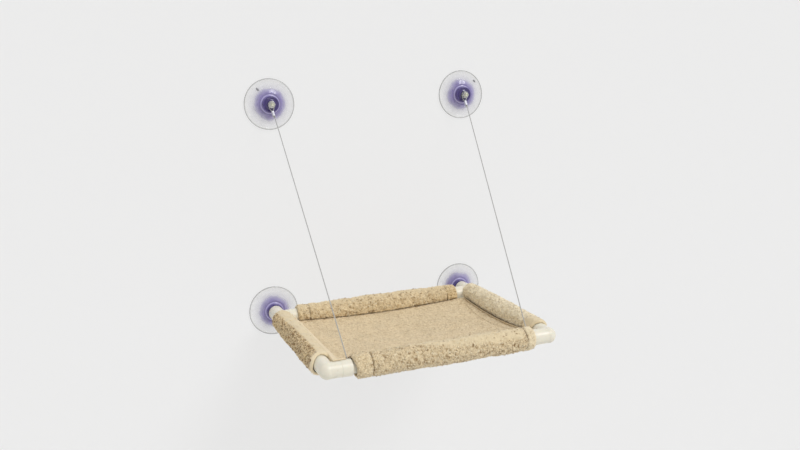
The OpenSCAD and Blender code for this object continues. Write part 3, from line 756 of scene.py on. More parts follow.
for side in (LEFT, RIGHT):
    run = cable_run(side)
    node = "upper_" + SIDE_NAME[side] + "_ferrule"
    piece = ferrule(node + "_squeezed", eye_foot(side) + run * upper_loop_len, run, upper_across(side))
    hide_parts(node)
    settle("window_side", "ferrule_metal", piece)
print("ferrules: two squeezed ones at the studs, two round stops in the front rail")

# %% [markdown]
# ## Fittings and tubes
# Tees, elbows, tubes and end plugs are exact solids, so they stay and only get the ivory plastic. What
# a mould adds is the fine parting line where its halves met. It follows the fitting's middle plane, so
# a tree sweeps a thin ridge along each path.

# %% Line tree
line_tree, given, out = geometry_tree("swept_line", [("Radius", FLOAT, 0.0003), ("Sides", WHOLE, 6)])
curve = put(line_tree, "GeometryNodeMeshToCurve", {0: given["Geometry"]})
swept = sweep(line_tree, curve, disc(line_tree, given["Sides"], given["Radius"]))
close_tree(line_tree, swept, given, out)


def grow_along(name, tree, paths, values):
    points, edges = [], []
    for path in paths:
        edges += [(len(points) + i, len(points) + i + 1) for i in range(len(path) - 1)]
        points += path
    carrier = mesh_object(name + "_path", points, [], edges)
    piece = grow(name, tree, values, carrier)
    bpy.data.objects.remove(carrier)
    return piece


def swept_line(name, paths, radius, material, sides=6):
    return grow_along(name, line_tree, paths, {"Radius": radius, "Sides": sides, "Material": material})

# %% Parting lines
out_r, in_r, line_end = collar_r - 0.12 * MM, body_r - 0.12 * MM, 1.2 * MM


def on_both_sides(x, y, side, ways):
    """Paths round the point x, y of a side, from points whose first number counts outwards."""
    return [[Vector((side * (x + dx), y + dy, 0)) for dx, dy in way] for way in ways]


def elbow_lines(side):
    near, far = elbow_floor + line_end, elbow_reach - line_end
    ways = [[(out_r * math.cos(a), -out_r * math.sin(a)) for a in (math.pi / 2 * i / 24 for i in range(25))]]
    for r, first in ((in_r, 2.0 * MM), (-in_r, in_r)):
        ways += [[(-first, -r), (-elbow_floor, -r)], [(r, first), (r, elbow_floor)]]
    for r in (out_r, -out_r):
        ways += [[(-near, -r), (-far, -r)], [(r, near), (r, far)]]
    return on_both_sides(half_spacing, -bed_reach, side, ways)


def tee_lines(side):
    near, far = tee_floor + line_end, tee_reach - line_end
    ways = [[(in_r, -tee_floor), (in_r, tee_floor)]]
    for s in (1, -1):
        ways += [[(r, s * near), (r, s * far)] for r in (out_r, -out_r)]
        ways.append([(-near, s * out_r), (-far, s * out_r)])
    return on_both_sides(half_spacing, -rear_reach, side, ways)


for side in (LEFT, RIGHT):
    for node, paths in (("front_" + SIDE_NAME[side] + "_elbow", elbow_lines(side)),
                        ("rear_" + SIDE_NAME[side] + "_tee", tee_lines(side))):
        settle("bed", "ivory_plastic", swept_line(node + "_parting_line", paths, 0.28 * MM, ivory))
print("parting lines: 4 fittings")

# %% [markdown]
# ## Fleece
# Sleeves and panel are curly fleece: pale curl tips over darker gaps, which are painted light and shade.
# Its material reads values that the skins further down keep at their points, so that deep places get
# more painted shade, worn places are smooth and pale, and tanned places are browner. Where the tan value
# is below 0 the colour is made paler, which on the right sleeve is painted light. Each scattered curl has
# a tone of its own, and a few are dark as painted shade, like the shadowed specks between real curls.

# %% Fleece finishes
def tan_and_painted_light_tint(tree, colour):
    """The colour made browner where the value tan is above 0, and paler where it is below, which paints
    light onto the right sleeve.
    """
    tan_and_painted_light = kept_value(tree, "tan_and_painted_light")
    above, below = (maths(tree, "MAXIMUM", t, 0.0) for t in (tan_and_painted_light, maths(tree, "MULTIPLY", tan_and_painted_light, -1.0)))
    tanned = blend_colours(tree, above, colour, (0.95, 0.87, 0.70, 1), "MULTIPLY")
    return blend_colours(tree, below, tanned, srgb(255, 245, 218))


# The gap colour is the painted shade between the tufts, and the tip colour the painted light on the raised
# curls.
def fleece_material(name, base, gap, painted_tip_light, worn, painted_shade_amount=0.75, painted_light_amount=0.5, tuft=5.5 * MM,
                    curl=2.2 * MM, relief=0.5):
    material, tree, shader, where = new_finish(
        name, Roughness=0.92, Specular_IOR_Level=0.15, Sheen_Weight=0.25, Sheen_Roughness=0.5)
    smooth = kept_value(tree, "smooth")
    curly = maths(tree, "SUBTRACT", 1.0, maths(tree, "MULTIPLY", smooth, 0.72))
    look = use_group(tree, pile, {
        "Vector": where, "Base": srgb(*base), "Gap": srgb(*gap), "Tip": srgb(*painted_tip_light), "Tuft Size": tuft,
        "Curl Size": curl, "Depth": kept_value(tree, "deep"),
        "Gap Amount": maths(tree, "MULTIPLY", curly, painted_shade_amount),
        "Tip Amount": maths(tree, "MULTIPLY", curly, painted_light_amount)})
    pale = blend_colours(tree, maths(tree, "MULTIPLY", smooth, 0.8), look["Colour"], srgb(*worn))
    height = maths(tree, "MULTIPLY", look["Height"], curly)
    fill(tree, shader, {"Base Color": tan_and_painted_light_tint(tree, pale), "Normal": bump(tree, height, relief, 1.2 * MM)})
    return material


def curl_material(name, dark, mid, light, painted_shade_specks=0.0):
    material, tree, shader, where = new_finish(name, Specular_IOR_Level=0.15, Sheen_Weight=0.3)
    tone, tan_and_painted_light = kept_value(tree, "tone"), kept_value(tree, "tan_and_painted_light")
    colour = ramp(tree, tone, [(0.0, srgb(*dark)), (0.3, srgb(*mid)), (1.0, srgb(*light))])
    # Painted shade: a share of the curls, set by specks and by the tan value, takes the dark brown of the
    # shadowed specks between real curls.
    painted_speck_share = maths(tree, "MULTIPLY_ADD", maths(tree, "ABSOLUTE", tan_and_painted_light), 0.26, painted_shade_specks)
    painted_speck_share = maths(tree, "MULTIPLY_ADD", tan_and_painted_light, -0.14, painted_speck_share)
    colour = blend_colours(tree, maths(tree, "LESS_THAN", tone, painted_speck_share), colour, srgb(150, 116, 72))
    body = mottled(tree, where, tan_and_painted_light_tint(tree, colour), 0.06, 20 * MM, 0.9, 0.1)
    fill(tree, shader, {"Base Color": body["Colour"], "Roughness": body["Roughness"],
                        "Normal": bump(tree, body["Height"], 0.4, 0.3 * MM)})
    return material


# For each fleece the first colour is its own, the second its painted shade in the gaps, the third its
# painted light on curl tips and the last its worn colour.
sleeve_fleece = fleece_material("sleeve_fleece", (238, 219, 182), (140, 108, 66), (246, 233, 204),
                                (220, 204, 171))
panel_fleece = fleece_material("panel_fleece", (236, 218, 184), (178, 150, 106), (244, 231, 203),
                               (234, 217, 186), 0.6, 0.4, 5 * MM, 1.9 * MM, 0.4)
piping_cloth = fleece_material("piping_cloth", (206, 184, 146), (140, 112, 74), (222, 202, 164),
                               (206, 184, 146), 0.6, 0.3, 4 * MM, 1.4 * MM, 0.4)
sleeve_curls = curl_material("sleeve_curls", (212, 184, 138), (242, 225, 190), (250, 240, 214), 0.1)
panel_curls = curl_material("panel_curls", (214, 192, 152), (236, 219, 184), (245, 232, 204))
thread = curl_material("sewing_thread", (150, 124, 84), (176, 150, 110), (196, 172, 132))
# A seam thread, darker than the sewing thread as painted shade of the seams and creases it lies in.
seam_thread_and_shade = curl_material("seam_thread_and_shade", (104, 78, 44), (120, 92, 54), (140, 112, 70))
print("fleece finishes: 7")

# %% Curl tree
curl_tree, given, out = geometry_tree("scattered_curls", [
    ("Spacing", FLOAT, 0.0036), ("Curl Radius", FLOAT, 0.0014), ("Strand", FLOAT, 0.00055),
    ("Opening", FLOAT, 4.3), ("Seed", WHOLE, 1), ("Steps", WHOLE, 6)])


def random_values(low, high, seed):
    return put(curl_tree, "FunctionNodeRandomValue", {2: low, 3: high, "Seed": seed},
               data_type="FLOAT").outputs[1]


piled = put(curl_tree, "GeometryNodeInputNamedAttribute", {"Name": "piled"}, data_type="FLOAT")
spots = put(curl_tree, "GeometryNodeDistributePointsOnFaces",
            {"Mesh": given["Geometry"], "Distance Min": given["Spacing"], "Density Max": 400000.0,
             "Density Factor": piled.outputs[0], "Seed": given["Seed"]},
            distribute_method="POISSON")
arc = put(curl_tree, "GeometryNodeCurveArc", {
    "Resolution": given["Steps"], "Radius": given["Curl Radius"], "Sweep Angle": given["Opening"]},
    mode="RADIUS")
curl = sweep(curl_tree, arc, disc(curl_tree, 3, given["Strand"]))
twirl = put(curl_tree, "FunctionNodeRandomValue",
            {0: (-0.75, -0.75, 0.0), 1: (0.75, 0.75, 6.283), "Seed": given["Seed"]},
            data_type="FLOAT_VECTOR")
turned_curl = put(curl_tree, "FunctionNodeRotateRotation",
                  {"Rotation": spots.outputs["Rotation"], "Rotate By": twirl.outputs[0]},
                  rotation_space="LOCAL")
planted = put(curl_tree, "GeometryNodeInstanceOnPoints",
              {"Points": spots.outputs[0], "Instance": curl, "Rotation": turned_curl.outputs[0],
               "Scale": random_values(0.75, 1.3, given["Seed"])})
tones = random_values(0.0, 1.0, maths(curl_tree, "ADD", given["Seed"], 7))
toned = put(curl_tree, "GeometryNodeStoreNamedAttribute",
            {"Geometry": planted.outputs[0], "Name": "tone", "Value": tones},
            data_type="FLOAT", domain="INSTANCE")
close_tree(curl_tree, toned.outputs[0], given, out)


def curls_on(skin, spacing, radius, strand, opening, seed, steps, finish, name=None):
    return grow(name or skin.name + "_curls", curl_tree, {
        "Spacing": spacing * MM, "Curl Radius": radius * MM, "Strand": strand * MM, "Opening": opening,
        "Seed": seed, "Steps": steps, "Material": finish}, skin)

# %% Stitch tree
stitch_tree, given, out = geometry_tree("row_of_stitches", [
    ("Pitch", FLOAT, 0.004), ("Length", FLOAT, 0.0028), ("Thickness", FLOAT, 0.0007)])
row = put(stitch_tree, "GeometryNodeMeshToCurve", {0: given["Geometry"]})
steps = put(stitch_tree, "GeometryNodeResampleCurve", {"Curve": row.outputs[0], "Length": given["Pitch"]},
            mode="LENGTH")
heading = put(stitch_tree, "GeometryNodeInputTangent")
aimed = put(stitch_tree, "FunctionNodeAlignRotationToVector", {"Vector": heading.outputs[0]}, axis="X")
bead = put(stitch_tree, "GeometryNodeMeshUVSphere", {"Segments": 6, "Rings": 4, "Radius": 0.5})
shape = put(stitch_tree, "ShaderNodeCombineXYZ",
            {0: given["Length"], 1: given["Thickness"], 2: given["Thickness"]})
sewn = put(stitch_tree, "GeometryNodeInstanceOnPoints", {
    "Points": steps.outputs[0], "Instance": bead.outputs[0], "Rotation": aimed.outputs[0],
    "Scale": shape.outputs[0]})
close_tree(stitch_tree, sewn.outputs[0], given, out)


def stitches(name, paths, pitch, length, thickness, finish):
    return grow_along(name, stitch_tree, paths, {
        "Pitch": pitch * MM, "Length": length * MM, "Thickness": thickness * MM, "Material": finish})

# %% [markdown]
# ## Sleeves and panel at rest
# A sleeve is a thick tube of fleece round a frame tube. At each end its edge is folded in and sewn, so
# there is a groove one hem's width from the mouth. The panel is a sling between the four sleeves, whose
# corners lie at different heights and whose middle hangs down. Both follow the same rules as the solids.
# `s` is the way along a sleeve and `a` the angle round it from the top, in millimetres and radians.

# %% Rule of a sleeve
room, up_dir = Vector((0, -1, 0)), Vector((0, 0, 1))
leftwards, rightwards = Vector((-1, 0, 0)), Vector((1, 0, 0))
sleeve_r, lip_r, collar_clear = 24.2, 19, 17.05
# Start, way along, way outwards, length and the widths of both hems.
sleeves = {
    "front_sleeve": (Vector((-183.5, front_y, 0)), rightwards, room, 383.0, (32.0, 20.0)),
    "rear_sleeve": (Vector((-199, rear_y, 0)), rightwards, room, 396.0, (27.0, 27.0)),
    "left_sleeve": (Vector((-side_x, -83.5, 0)), room, leftwards, 316.5, (27.0, 27.0)),
    "right_sleeve": (Vector((side_x, -83.5, 0)), room, rightwards, 316.5, (27.0, 27.0))}


def rough(x, y, z):
    return noise.noise(Vector((x, y, z)))


def seam_gap(s, length, hems):
    return min(abs(s - hems[0]), abs(length - hems[1] - s))


def sleeve_radius(s, length, hems):
    first, last = hems[0], length - hems[1]
    if first < s < last:
        swell = 0.8 * math.sin(math.pi * (s - first) / (last - first))
    else:
        swell = 0.5 * math.sin(math.pi * min(1, s / first if s <= first else (length - s) / hems[1]))
    return sleeve_r + swell - 2.4 * bump_at(seam_gap(s, length, hems), 0, 1.7)


def turn_gap(a, centre):
    return abs((a - centre + math.pi) % FULL - math.pi)

# %% Rule of the panel
corner_z = ((-5, -4), (1, 5))
edge_sag, mid_sag, side_draw, reach_r, panel_t = 9.0, 12.0, 3.0, 25.3, 8.0
panel_wide, panel_long = 425.0, 330.0


def half_wave(t):
    return math.sin(math.pi * t)


def panel_z(u, v):
    rear = corner_z[0][0] * (1 - u) + corner_z[0][1] * u - edge_sag * half_wave(u)
    front = corner_z[1][0] * (1 - u) + corner_z[1][1] * u
    return (rear * (1 - v) + front * v - edge_sag * half_wave(v) * u
            - mid_sag * half_wave(u) * half_wave(v))


def panel_point(u, v, drop=0.0):
    def inset(u, v):
        return math.sqrt(max(0.0, reach_r ** 2 - (panel_z(u, v) - drop) ** 2))
    left = -side_x + inset(0, v)
    right_x = side_x - inset(1, v) - side_draw * half_wave(v)
    rear = rear_y - inset(u, 0)
    front = front_y + inset(u, 1)
    return Vector((left + (right_x - left) * u, rear + (front - rear) * v, panel_z(u, v) - drop))

# %% [markdown]
# ## Letting the fleece puff and buckle
# Cloth that is sewn at its seams and slack between them swells and buckles there. Cloth simulation gives
# those folds. A coarse grid stands for each surface, its sewn points are pinned, a little pressure pushes
# on it, and a little spare cloth makes it buckle. After 20 frames each point's move is cut to a few
# millimetres and kept, and the fine skins further down add the moves to their own points.

# %% Cloth on coarse grids
def cloth_grid(name, grid, wraps, sewn, pressure, spare):
    rows, cols = grid.shape[:2]
    faces = [(i * cols + j, (i + 1) * cols + j, (i + 1) * cols + (j + 1) % cols, i * cols + (j + 1) % cols)
             for i in range(rows - 1) for j in range(cols if wraps else cols - 1)]
    piece = mesh_object(name + "_cloth_grid", grid.reshape(-1, 3) * MM, faces)
    held = piece.vertex_groups.new(name="sewn")
    held.add([int(k) for k in np.flatnonzero(sewn)], 1.0, "REPLACE")
    cloth = piece.modifiers.new("cloth", "CLOTH")
    cloth.collision_settings.use_collision = False
    rule = cloth.settings
    rule.quality, rule.mass, rule.vertex_group_mass = 6, 0.3, "sewn"
    rule.tension_stiffness, rule.compression_stiffness, rule.shear_stiffness = 12, 6, 4
    rule.bending_stiffness, rule.shrink_min = 0.3, -spare
    rule.use_pressure, rule.uniform_pressure_force = True, pressure
    rule.effector_weights.gravity = 0
    return piece


def moves_after(grids, frames=20):
    """Run all grids as cloth together and return how far each point moves, in millimetres."""
    pieces = {name: cloth_grid(name, *rest[:-1]) for name, rest in grids.items()}
    for frame_number in range(1, frames + 1):
        bpy.context.scene.frame_set(frame_number)
    graph, moves = bpy.context.evaluated_depsgraph_get(), {}
    for name, piece in pieces.items():
        grid, limit = grids[name][0], grids[name][-1]
        settled = bpy.data.meshes.new_from_object(piece.evaluated_get(graph), depsgraph=graph)
        place = np.empty(len(settled.vertices) * 3)
        settled.vertices.foreach_get("co", place)
        move = place.reshape(grid.shape) / MM - grid
        far = np.linalg.norm(move, axis=2, keepdims=True)
        moves[name] = move * np.minimum(1, limit / np.maximum(far, 1e-9))
        print(name, "cloth moves", round(float(far.mean()), 2), "mm on average, cut at", limit)
        bpy.data.objects.remove(piece)
    bpy.context.scene.frame_set(1)
    return moves


def between(field, rows, cols, wraps):
    """Smooth values of a coarse grid at each pair of a row and a column."""
    def shares(t):
        return np.stack([(1 - t) ** 3, 3 * t ** 3 - 6 * t ** 2 + 4,
                         1 + 3 * t + 3 * t ** 2 - 3 * t ** 3, t ** 3]) / 6
    i, j, total = np.floor(rows).astype(int), np.floor(cols).astype(int), 0
    row_share, col_share = shares(rows - i), shares(cols - j)
    for m in range(4):
        for n in range(4):
            near_row, near_col = np.clip(i + m - 1, 0, field.shape[0] - 1), j + n - 1
            near_col = near_col % field.shape[1] if wraps else np.clip(near_col, 0, field.shape[1] - 1)
            share = row_share[m][:, None] * col_share[n][None, :]
            total = total + field[near_row[:, None], near_col[None, :]] * share[..., None]
    return total

# %% Run the cloth
sleeve_pressure, sleeve_spare, sleeve_limit = 30, 0.02, 2.6
panel_pressure, panel_spare, panel_limit = -6, 0.006, 3.0
panel_cols, panel_rows = 58, 45


def faces_inwards(along, outward):
    return along.cross(up_dir).dot(outward) >= 0


def sleeve_grid(start, along, outward, length, hems, seed):
    cols, rows = 48, int(round(length / 6.5)) + 1
    grid, sewn = np.zeros((rows, cols, 3)), np.zeros((rows, cols))
    for i in range(rows):
        s = length * i / (rows - 1)
        for j, a in enumerate(circle(cols)):
            r = sleeve_r + 0.2 * rough(s / 18, 2 * math.cos(a) + seed, 2 * math.sin(a))
            grid[i, j] = start + along * s + (up_dir * math.cos(a) + outward * math.sin(a)) * r
            at_panel = turn_gap(a, -1.6) < 0.14
            sewn[i, j] = i in (0, rows - 1) or seam_gap(s, length, hems) < 3.4 or at_panel
    if faces_inwards(along, outward):
        grid, sewn = grid[:, ::-1], sewn[:, ::-1]
    return grid, True, sewn, sleeve_pressure, sleeve_spare, sleeve_limit


sling = np.array([[panel_point(i / (panel_cols - 1), j / (panel_rows - 1)) for i in range(panel_cols)]
                  for j in range(panel_rows)])
edge_of_sling = np.ones((panel_rows, panel_cols))
edge_of_sling[1:-1, 1:-1] = 0
grids = {name: sleeve_grid(*rest, seed) for seed, (name, rest) in enumerate(sleeves.items(), 1)}
grids["bed_panel"] = (sling, False, edge_of_sling, panel_pressure, panel_spare, panel_limit)
moves = moves_after(grids)
for name, (start, along, outward, *_) in sleeves.items():
    if faces_inwards(along, outward):
        moves[name] = moves[name][:, ::-1]

# %% [markdown]
# ## Fine fleece skins
# Close up the fleece has tufts some 6 mm across and curls of yarn about 3 mm across. The tufts move the
# points of a fine skin, and the curls are small bent strands that Geometry Nodes scatter over it. Each
# point keeps four values: how `deep` it lies between tufts or inside a mouth, which the material paints
# as shade, how `smooth` the cloth is there, because the pile is worn and pulled flat where a sleeve turns
# into the panel, how tanned it has become, where values below 0 paint light, and how densely it is
# `piled` with curls.

# %% Where a sleeve is smooth and tanned
def between_marks(value, places, values):
    return float(np.interp(value, places, values))


def fade(value, low, high):
    t = min(1.0, max(0.0, (value - low) / (high - low)))
    return t * t * (3 - 2 * t)


def degrees_from_top(a):
    return (math.degrees(a) + 180) % 360 - 180


# Each rule gives how smooth and how tanned the fleece is at s and a; a value below 0 makes it paler instead.
def front_finish(s, a):
    d = degrees_from_top(a)
    edge = between_marks(s, (90, 145, 200, 244, 290, 346), (-30, 21, 45, 59, 64, 68))
    edge += 11 * rough(s / 9, a * 2, 4.0)
    band = fade(edge - d, -14, 12) * fade(d, -118, -106) * fade(s, 80, 110) * (1 - fade(s, 350, 362))
    hem = fade(s, 358, 366)
    return max(0.74 * band, 0.3 * (1 - fade(s, 28, 36)), 0.12, 0.5 * hem), -0.25 * hem


def rear_finish(s, a):
    return 0.3 + 0.4 * fade(turn_gap(a, -0.25), 0.75, 0.3), 0.14 + 0.4 * fade(s, 366, 374)


def left_finish(s, a):
    d = degrees_from_top(a)
    edge = between_marks(s, (20, 45, 125, 200, 270, 300), (34, 28, 21, 15, 10, 12))
    band = fade(edge - d, -4, 5) * fade(d, -128, -116)
    tan_and_painted_light = 0.6 * (1 - band) * (1 - fade(s, 300, 312)) - 0.2 * fade(s, 306, 313)
    return max(band, 0.9 * fade(s, 309, 313)), tan_and_painted_light


# Painted light: the right sleeve is made paler all along except at its end, because its seen side faces away
# from the sun.
def right_finish(s, a):
    d, end = degrees_from_top(a), 0.95 * fade(s, 284, 296)
    return max(end, 0.16, 0.5 * fade(d, 0, 18) * fade(100 - d, 0, 18)), -0.55 * (1 - end)


finish_rules = {"front_sleeve": front_finish, "rear_sleeve": rear_finish,
                "left_sleeve": left_finish, "right_sleeve": right_finish}

# %% Mouths of the sleeves
# Radius, way in from the mouth and painted shade of each row of a lip, in its open and its tight form.
open_lip = [(17.0, 12.0, 0.9), (18.2, 7.0, 0.8), (20.2, 2.5, 0.45), (21.6, 0.5, 0.2), (22.6, 0.0, 0.0),
            (23.6, 0.4, 0.0), (24.1, 1.7, 0.0)]
tight_lip = [(17.1, 12.0, 0.9), (17.1, 5.0, 0.9), (17.3, 1.6, 0.5), (18.0, 0.3, 0.1), (19.6, 0.0, 0.0),
             (21.6, 0.8, 0.0), (23.3, 2.4, 0.0)]
# Both mouths of each sleeve: angles and how far the mouth reaches past its end there, then the angle at
# which it stands open and how much.
even = ((-180, 180), (0, 0))
mouths = {
    "front_sleeve": ((((-180, -90, -25, 30, 90, 180), (-1, 3, 5, 5, 0, -1)), 150, 0.15), (even, 90, 0.3)),
    "rear_sleeve": ((even, 90, 0.4), (even, 90, 0.4)),
    "left_sleeve": (
        (even, 90, 0.4),
        (((-180, -60, 0, 25, 62, 95, 130, 180), (2, 0, 1, 5, 12, 13, 10, 2)), 140, 0.8)),
    "right_sleeve": (
        (((-180, -110, -60, -10, 30, 90, 180), (0, 6, 12, 14, 10, 2, 0)), 0, 0.0),
        (((-180, -120, -60, 0, 60, 120, 180), (0, 0, 9, 14, 8, 0, 0)), 0, 0.0))}


def lip_point(ends, last, i, a):
    """Radius, way in from the mouth and painted shade of row i of a lip, between its tight and its open
    form.
    """
    _, open_at, share = ends[last]
    share *= max(0.0, math.cos(a - math.radians(open_at))) ** 3
    return [t * (1 - share) + o * share for t, o in zip(tight_lip[i], open_lip[i])]


def mouth_reach(ends, s, length, a):
    d, total = degrees_from_top(a), 0.0
    for last, way in ((0, s), (1, length - s)):
        (angles, reaches), *_ = ends[last]
        total += (1 if last else -1) * between_marks(d, angles, reaches) * (1 - fade(way, 3, 32))
    return total

# %% Sleeve skin
tuft_wide, tuft_sway, fuzz_wide = 6.2, 2.2, 1.9


def tufts_at(p, size):
    near = noise.voronoi(p / size, distance_metric="DISTANCE")[0]
    return min(1.0, near[0] / 0.75)


def skin_object(name, verts, faces, values, finish):
    """A skin whose points keep the values deep, smooth, tan and piled."""
    skin = face_outwards(mesh_object(name, verts, faces))
    for label, column in zip(("deep", "smooth", "tan_and_painted_light", "piled"), zip(*values)):
        attribute = skin.data.attributes.new(label, "FLOAT", "POINT")
        attribute.data.foreach_set("value", np.asarray(column, dtype=np.float32))
    skin.data.materials.append(finish)
    return skin


def sleeve_skin(name, start, along, outward, length, hems, finish, ends, move, seed):
    around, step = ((112, 1.45))
    rows = max(8, int(length / step))
    path = [(i, s, dark) for i, (_, s, dark) in enumerate(tight_lip)]
    outer_from = len(path)
    path += [(None, 4 + (length - 8) * i / rows, 0.0) for i in range(rows + 1)]
    outer_to = len(path)
    path += [(i, length - s, dark) for i, (_, s, dark) in reversed(list(enumerate(tight_lip)))]
    # The two rows that close the bore are dark: painted shade inside the sleeve.
    path += [(0, length * 0.66, 0.9), (0, length * 0.33, 0.9)]
    on_grid = np.array([s / length * (move.shape[0] - 1) for _, s, _ in path])
    moved = between(move, on_grid, np.arange(around) / around * move.shape[1], True)
    verts, values, shift = [], [], Vector((seed * 31.7, seed * 17.3, seed * 5.1))
    for row, (lip_row, s, dark) in enumerate(path):
        outer = outer_from <= row < outer_to
        base, last = sleeve_radius(s, length, hems), 1 if row >= outer_to else 0
        gap, edge = seam_gap(s, length, hems), min(1.0, min(s, length - s) / 7)
        for k, a in enumerate(circle(around)):
            out = up_dir * math.cos(a) + outward * math.sin(a)
            if lip_row is not None:
                base, way, dark = lip_point(ends, last, lip_row, a)
                if row < len(path) - 2:
                    s = length - way if last else way
            soft, tan_and_painted_light = finish(s, a)
            r, down, along_by = base, dark, 0.0
            if base > lip_r:
                at = along * s + out * base + shift
                wave = noise.noise(Vector((s / 42, math.cos(a) * 1.1, math.sin(a) * 1.1)) + shift)
                pucker = rough(a * 5.5, seed, s * 0.05) + 0.35 * rough(a * 14, s * 0.08, seed)
                sway = Vector((noise.noise(at / 9), noise.noise(at / 9 + shift), 0)) * tuft_sway
                tuft = tufts_at(at + sway, tuft_wide)
                patch = fade(noise.noise(at / 10 + shift), -0.05, 0.3)
                curly = 1 - 0.85 * soft
                r += 0.35 * wave * edge + 1.1 * math.exp(-gap / 7) * pucker * edge - 0.75
                r += curly * (0.75 - 1.9 * max(0.0, tuft - 0.25)) * (0.4 + 0.6 * edge)
                r += 0.35 * curly * noise.noise(at / fuzz_wide)
                # Painted shade: darker deep between tufts, more so in sparse patches and where the tan value
                # is above 0, and in the groove of each hem seam.
                share = 0.6 + 0.5 * patch + 0.6 * max(0, tan_and_painted_light)
                down = max(down, curly * max(0.0, tuft - 0.42) * share) + 0.5 * bump_at(gap, 0, 1.6)
                if not outer:
                    along_by = 1.1 * rough(a * 1.6, seed, 3.3)
            along_by += mouth_reach(ends, s, length, a)
            place = start + along * (s + along_by) + out * max(r, collar_clear)
            if outer:
                place += Vector(moved[row, k])
            verts.append(place * MM)
            dense = (1 - 0.96 * soft) * (0.15 if gap < 1.6 else 1.0)
            values.append((down, soft, tan_and_painted_light, dense if outer else 0.0))
    return skin_object(name, verts, ring_faces(len(path), around, closed=True), values, sleeve_fleece)

# %% The four sleeves
for seed, (name, (start, along, outward, length, hems)) in enumerate(sleeves.items(), 1):
    skin = sleeve_skin(name + "_fleece", start, along, outward, length, hems, finish_rules[name],
                       mouths[name], moves[name], seed)
    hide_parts(name)
    curls = curls_on(skin, 3.4, 1.45, 0.6, 4.3, seed * 11, 6, sleeve_curls,
                     name + "_curls")
    rings = []
    for seam in (hems[0], length - hems[1]):
        r = sleeve_radius(seam, length, hems) - 0.1
        rings.append([(start + along * seam + (up_dir * math.cos(a) + outward * math.sin(a)) * r) * MM
                      for a in circle(90, 91)])
    sewing = stitches(name + "_hem_stitches", rings, 3.4, 3.0, 1.1, seam_thread_and_shade)
    settle("bed", "curly_fleece", skin, curls, sewing)
    print(name, len(skin.data.polygons), "faces,", len(curls.data.polygons), "curl faces")

# %% [markdown]
# ## Bed panel
# The panel's pile is shorter than the sleeves'. Beside the left sleeve its cloth is smooth up to a sewn
# line and rises to the top of the sleeve, because sleeve and panel are one cloth there. At the right
# sleeve it has a piped line, and its front left corner is folded over the elbow.

# %% Panel surface
panel_tuft_wide, panel_sway, panel_fuzz_wide = 5.4, 2.0, 1.8
fold_wide, bridge_wide, bridge_top = 34, 28, 16.5


def strip_wide(v):
    """Width of the smooth strip beside the left sleeve, up to its sewn line."""
    return 12.0 + 2.0 * half_wave(v)


def right_seam(v):
    """How far the piped inner line lies from the left edge, in millimetres along the panel."""
    return panel_wide - 9 - 15 * half_wave(min(1, max(0, v)))


def flap_share(u, v):
    """How much a point belongs to the folded corner over the front left elbow."""
    return max(0.0, 1 - math.hypot(u * panel_wide, (1 - v) * panel_long) / fold_wide) ** 0.8


def bridge(u, v):
    """How far the cloth is drawn up onto the left sleeve: all the way at its edge, then less and less."""
    ends = fade(v * panel_long, 0, 25) * fade((1 - v) * panel_long, -30, 20)
    share = max(0.0, 1 - u * panel_wide / bridge_wide) ** 1.6 * ends
    return Vector((-8.5, 0, bridge_top - panel_z(0, v))) * share


def two_layers(cols, rows):
    """Faces of two grids of points, one under the other, that are joined along their rim."""
    row, below, faces = cols + 1, (cols + 1) * (rows + 1), []
    for a in (j * row + i for j in range(rows) for i in range(cols)):
        b = below + a
        faces += [(a, a + 1, a + row + 1, a + row), (b, b + row, b + row + 1, b + 1)]
    rim = [i for i in range(cols)] + [j * row + cols for j in range(rows)]
    rim += [rows * row + i for i in range(cols, 0, -1)] + [j * row for j in range(rows, 0, -1)]
    return faces + [(a, below + a, below + b, b) for a, b in zip(rim, rim[1:] + rim[:1])]


def layer_points(cols, rows):
    return ((layer, i, j) for layer in (0, 1) for j in range(rows + 1) for i in range(cols + 1))


def panel_skin(move):
    cols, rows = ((236, 186))
    moved = between(move, np.arange(rows + 1) / rows * (panel_rows - 1),
                    np.arange(cols + 1) / cols * (panel_cols - 1), False)
    verts, values = [], []
    for layer, i, j in layer_points(cols, rows):
        u, v = i / cols, j / rows
        across, down = u * panel_wide, v * panel_long
        p = panel_point(u, v, panel_t * layer) + Vector(moved[j, i])
        edge = min(1.0, min(across, (1 - u) * panel_wide, down, (1 - v) * panel_long) / 10)
        strip = 1.0 if across < strip_wide(v) else 0.0
        fine = noise.noise(p / panel_fuzz_wide)
        sway = Vector((noise.noise(p / 8), noise.noise((p + Vector((9, 4, 1))) / 8), 0)) * panel_sway
        tuft = tufts_at(p + sway, panel_tuft_wide)
        curly = 1 - 0.8 * strip
        lift = curly * (0.3 - 0.9 * max(0.0, tuft - 0.3)) + 0.22 * curly * fine
        lift += 0.6 * rough(p.x / 70, p.y / 55, 1.7) * edge
        seam = 0.45 * bump_at(across, strip_wide(v), 1.2)
        seam += 0.9 * bump_at(across, right_seam(v), 1.3) * (1 if v > 0.1 else 0)
        bend, drawn = flap_share(u, v), bridge(u, v)
        p.z += 0.4 * fine if layer else lift - 0.2 - 1.0 * seam * edge
        p += Vector((min(drawn.x, -9 * bend), -7.5 * bend,
                     max(drawn.z * (0.8 if layer else 1), 13 * bend) + 3.5 * bend * layer))
        verts.append(p * MM)
        # Painted shade: darker in the crease along the right sleeve, at the rear junction, in the sewn
        # grooves and between tufts.
        crease_shade = 0.8 * bump_at((1 - u) * panel_wide, 0, 1.8)
        crease_shade += (0.5 + 0.7 * noise.noise(p / 2.4)) * bump_at(down, 0, 2.4)
        dense = 0 if layer or strip else curly * (1 - min(1, seam))
        values.append((curly * max(0.0, (tuft - 0.5) * 0.9) + 0.5 * seam + crease_shade, strip * 0.9, 0.0, dense))
    return skin_object("bed_panel_fleece", verts, two_layers(cols, rows), values, panel_fleece)


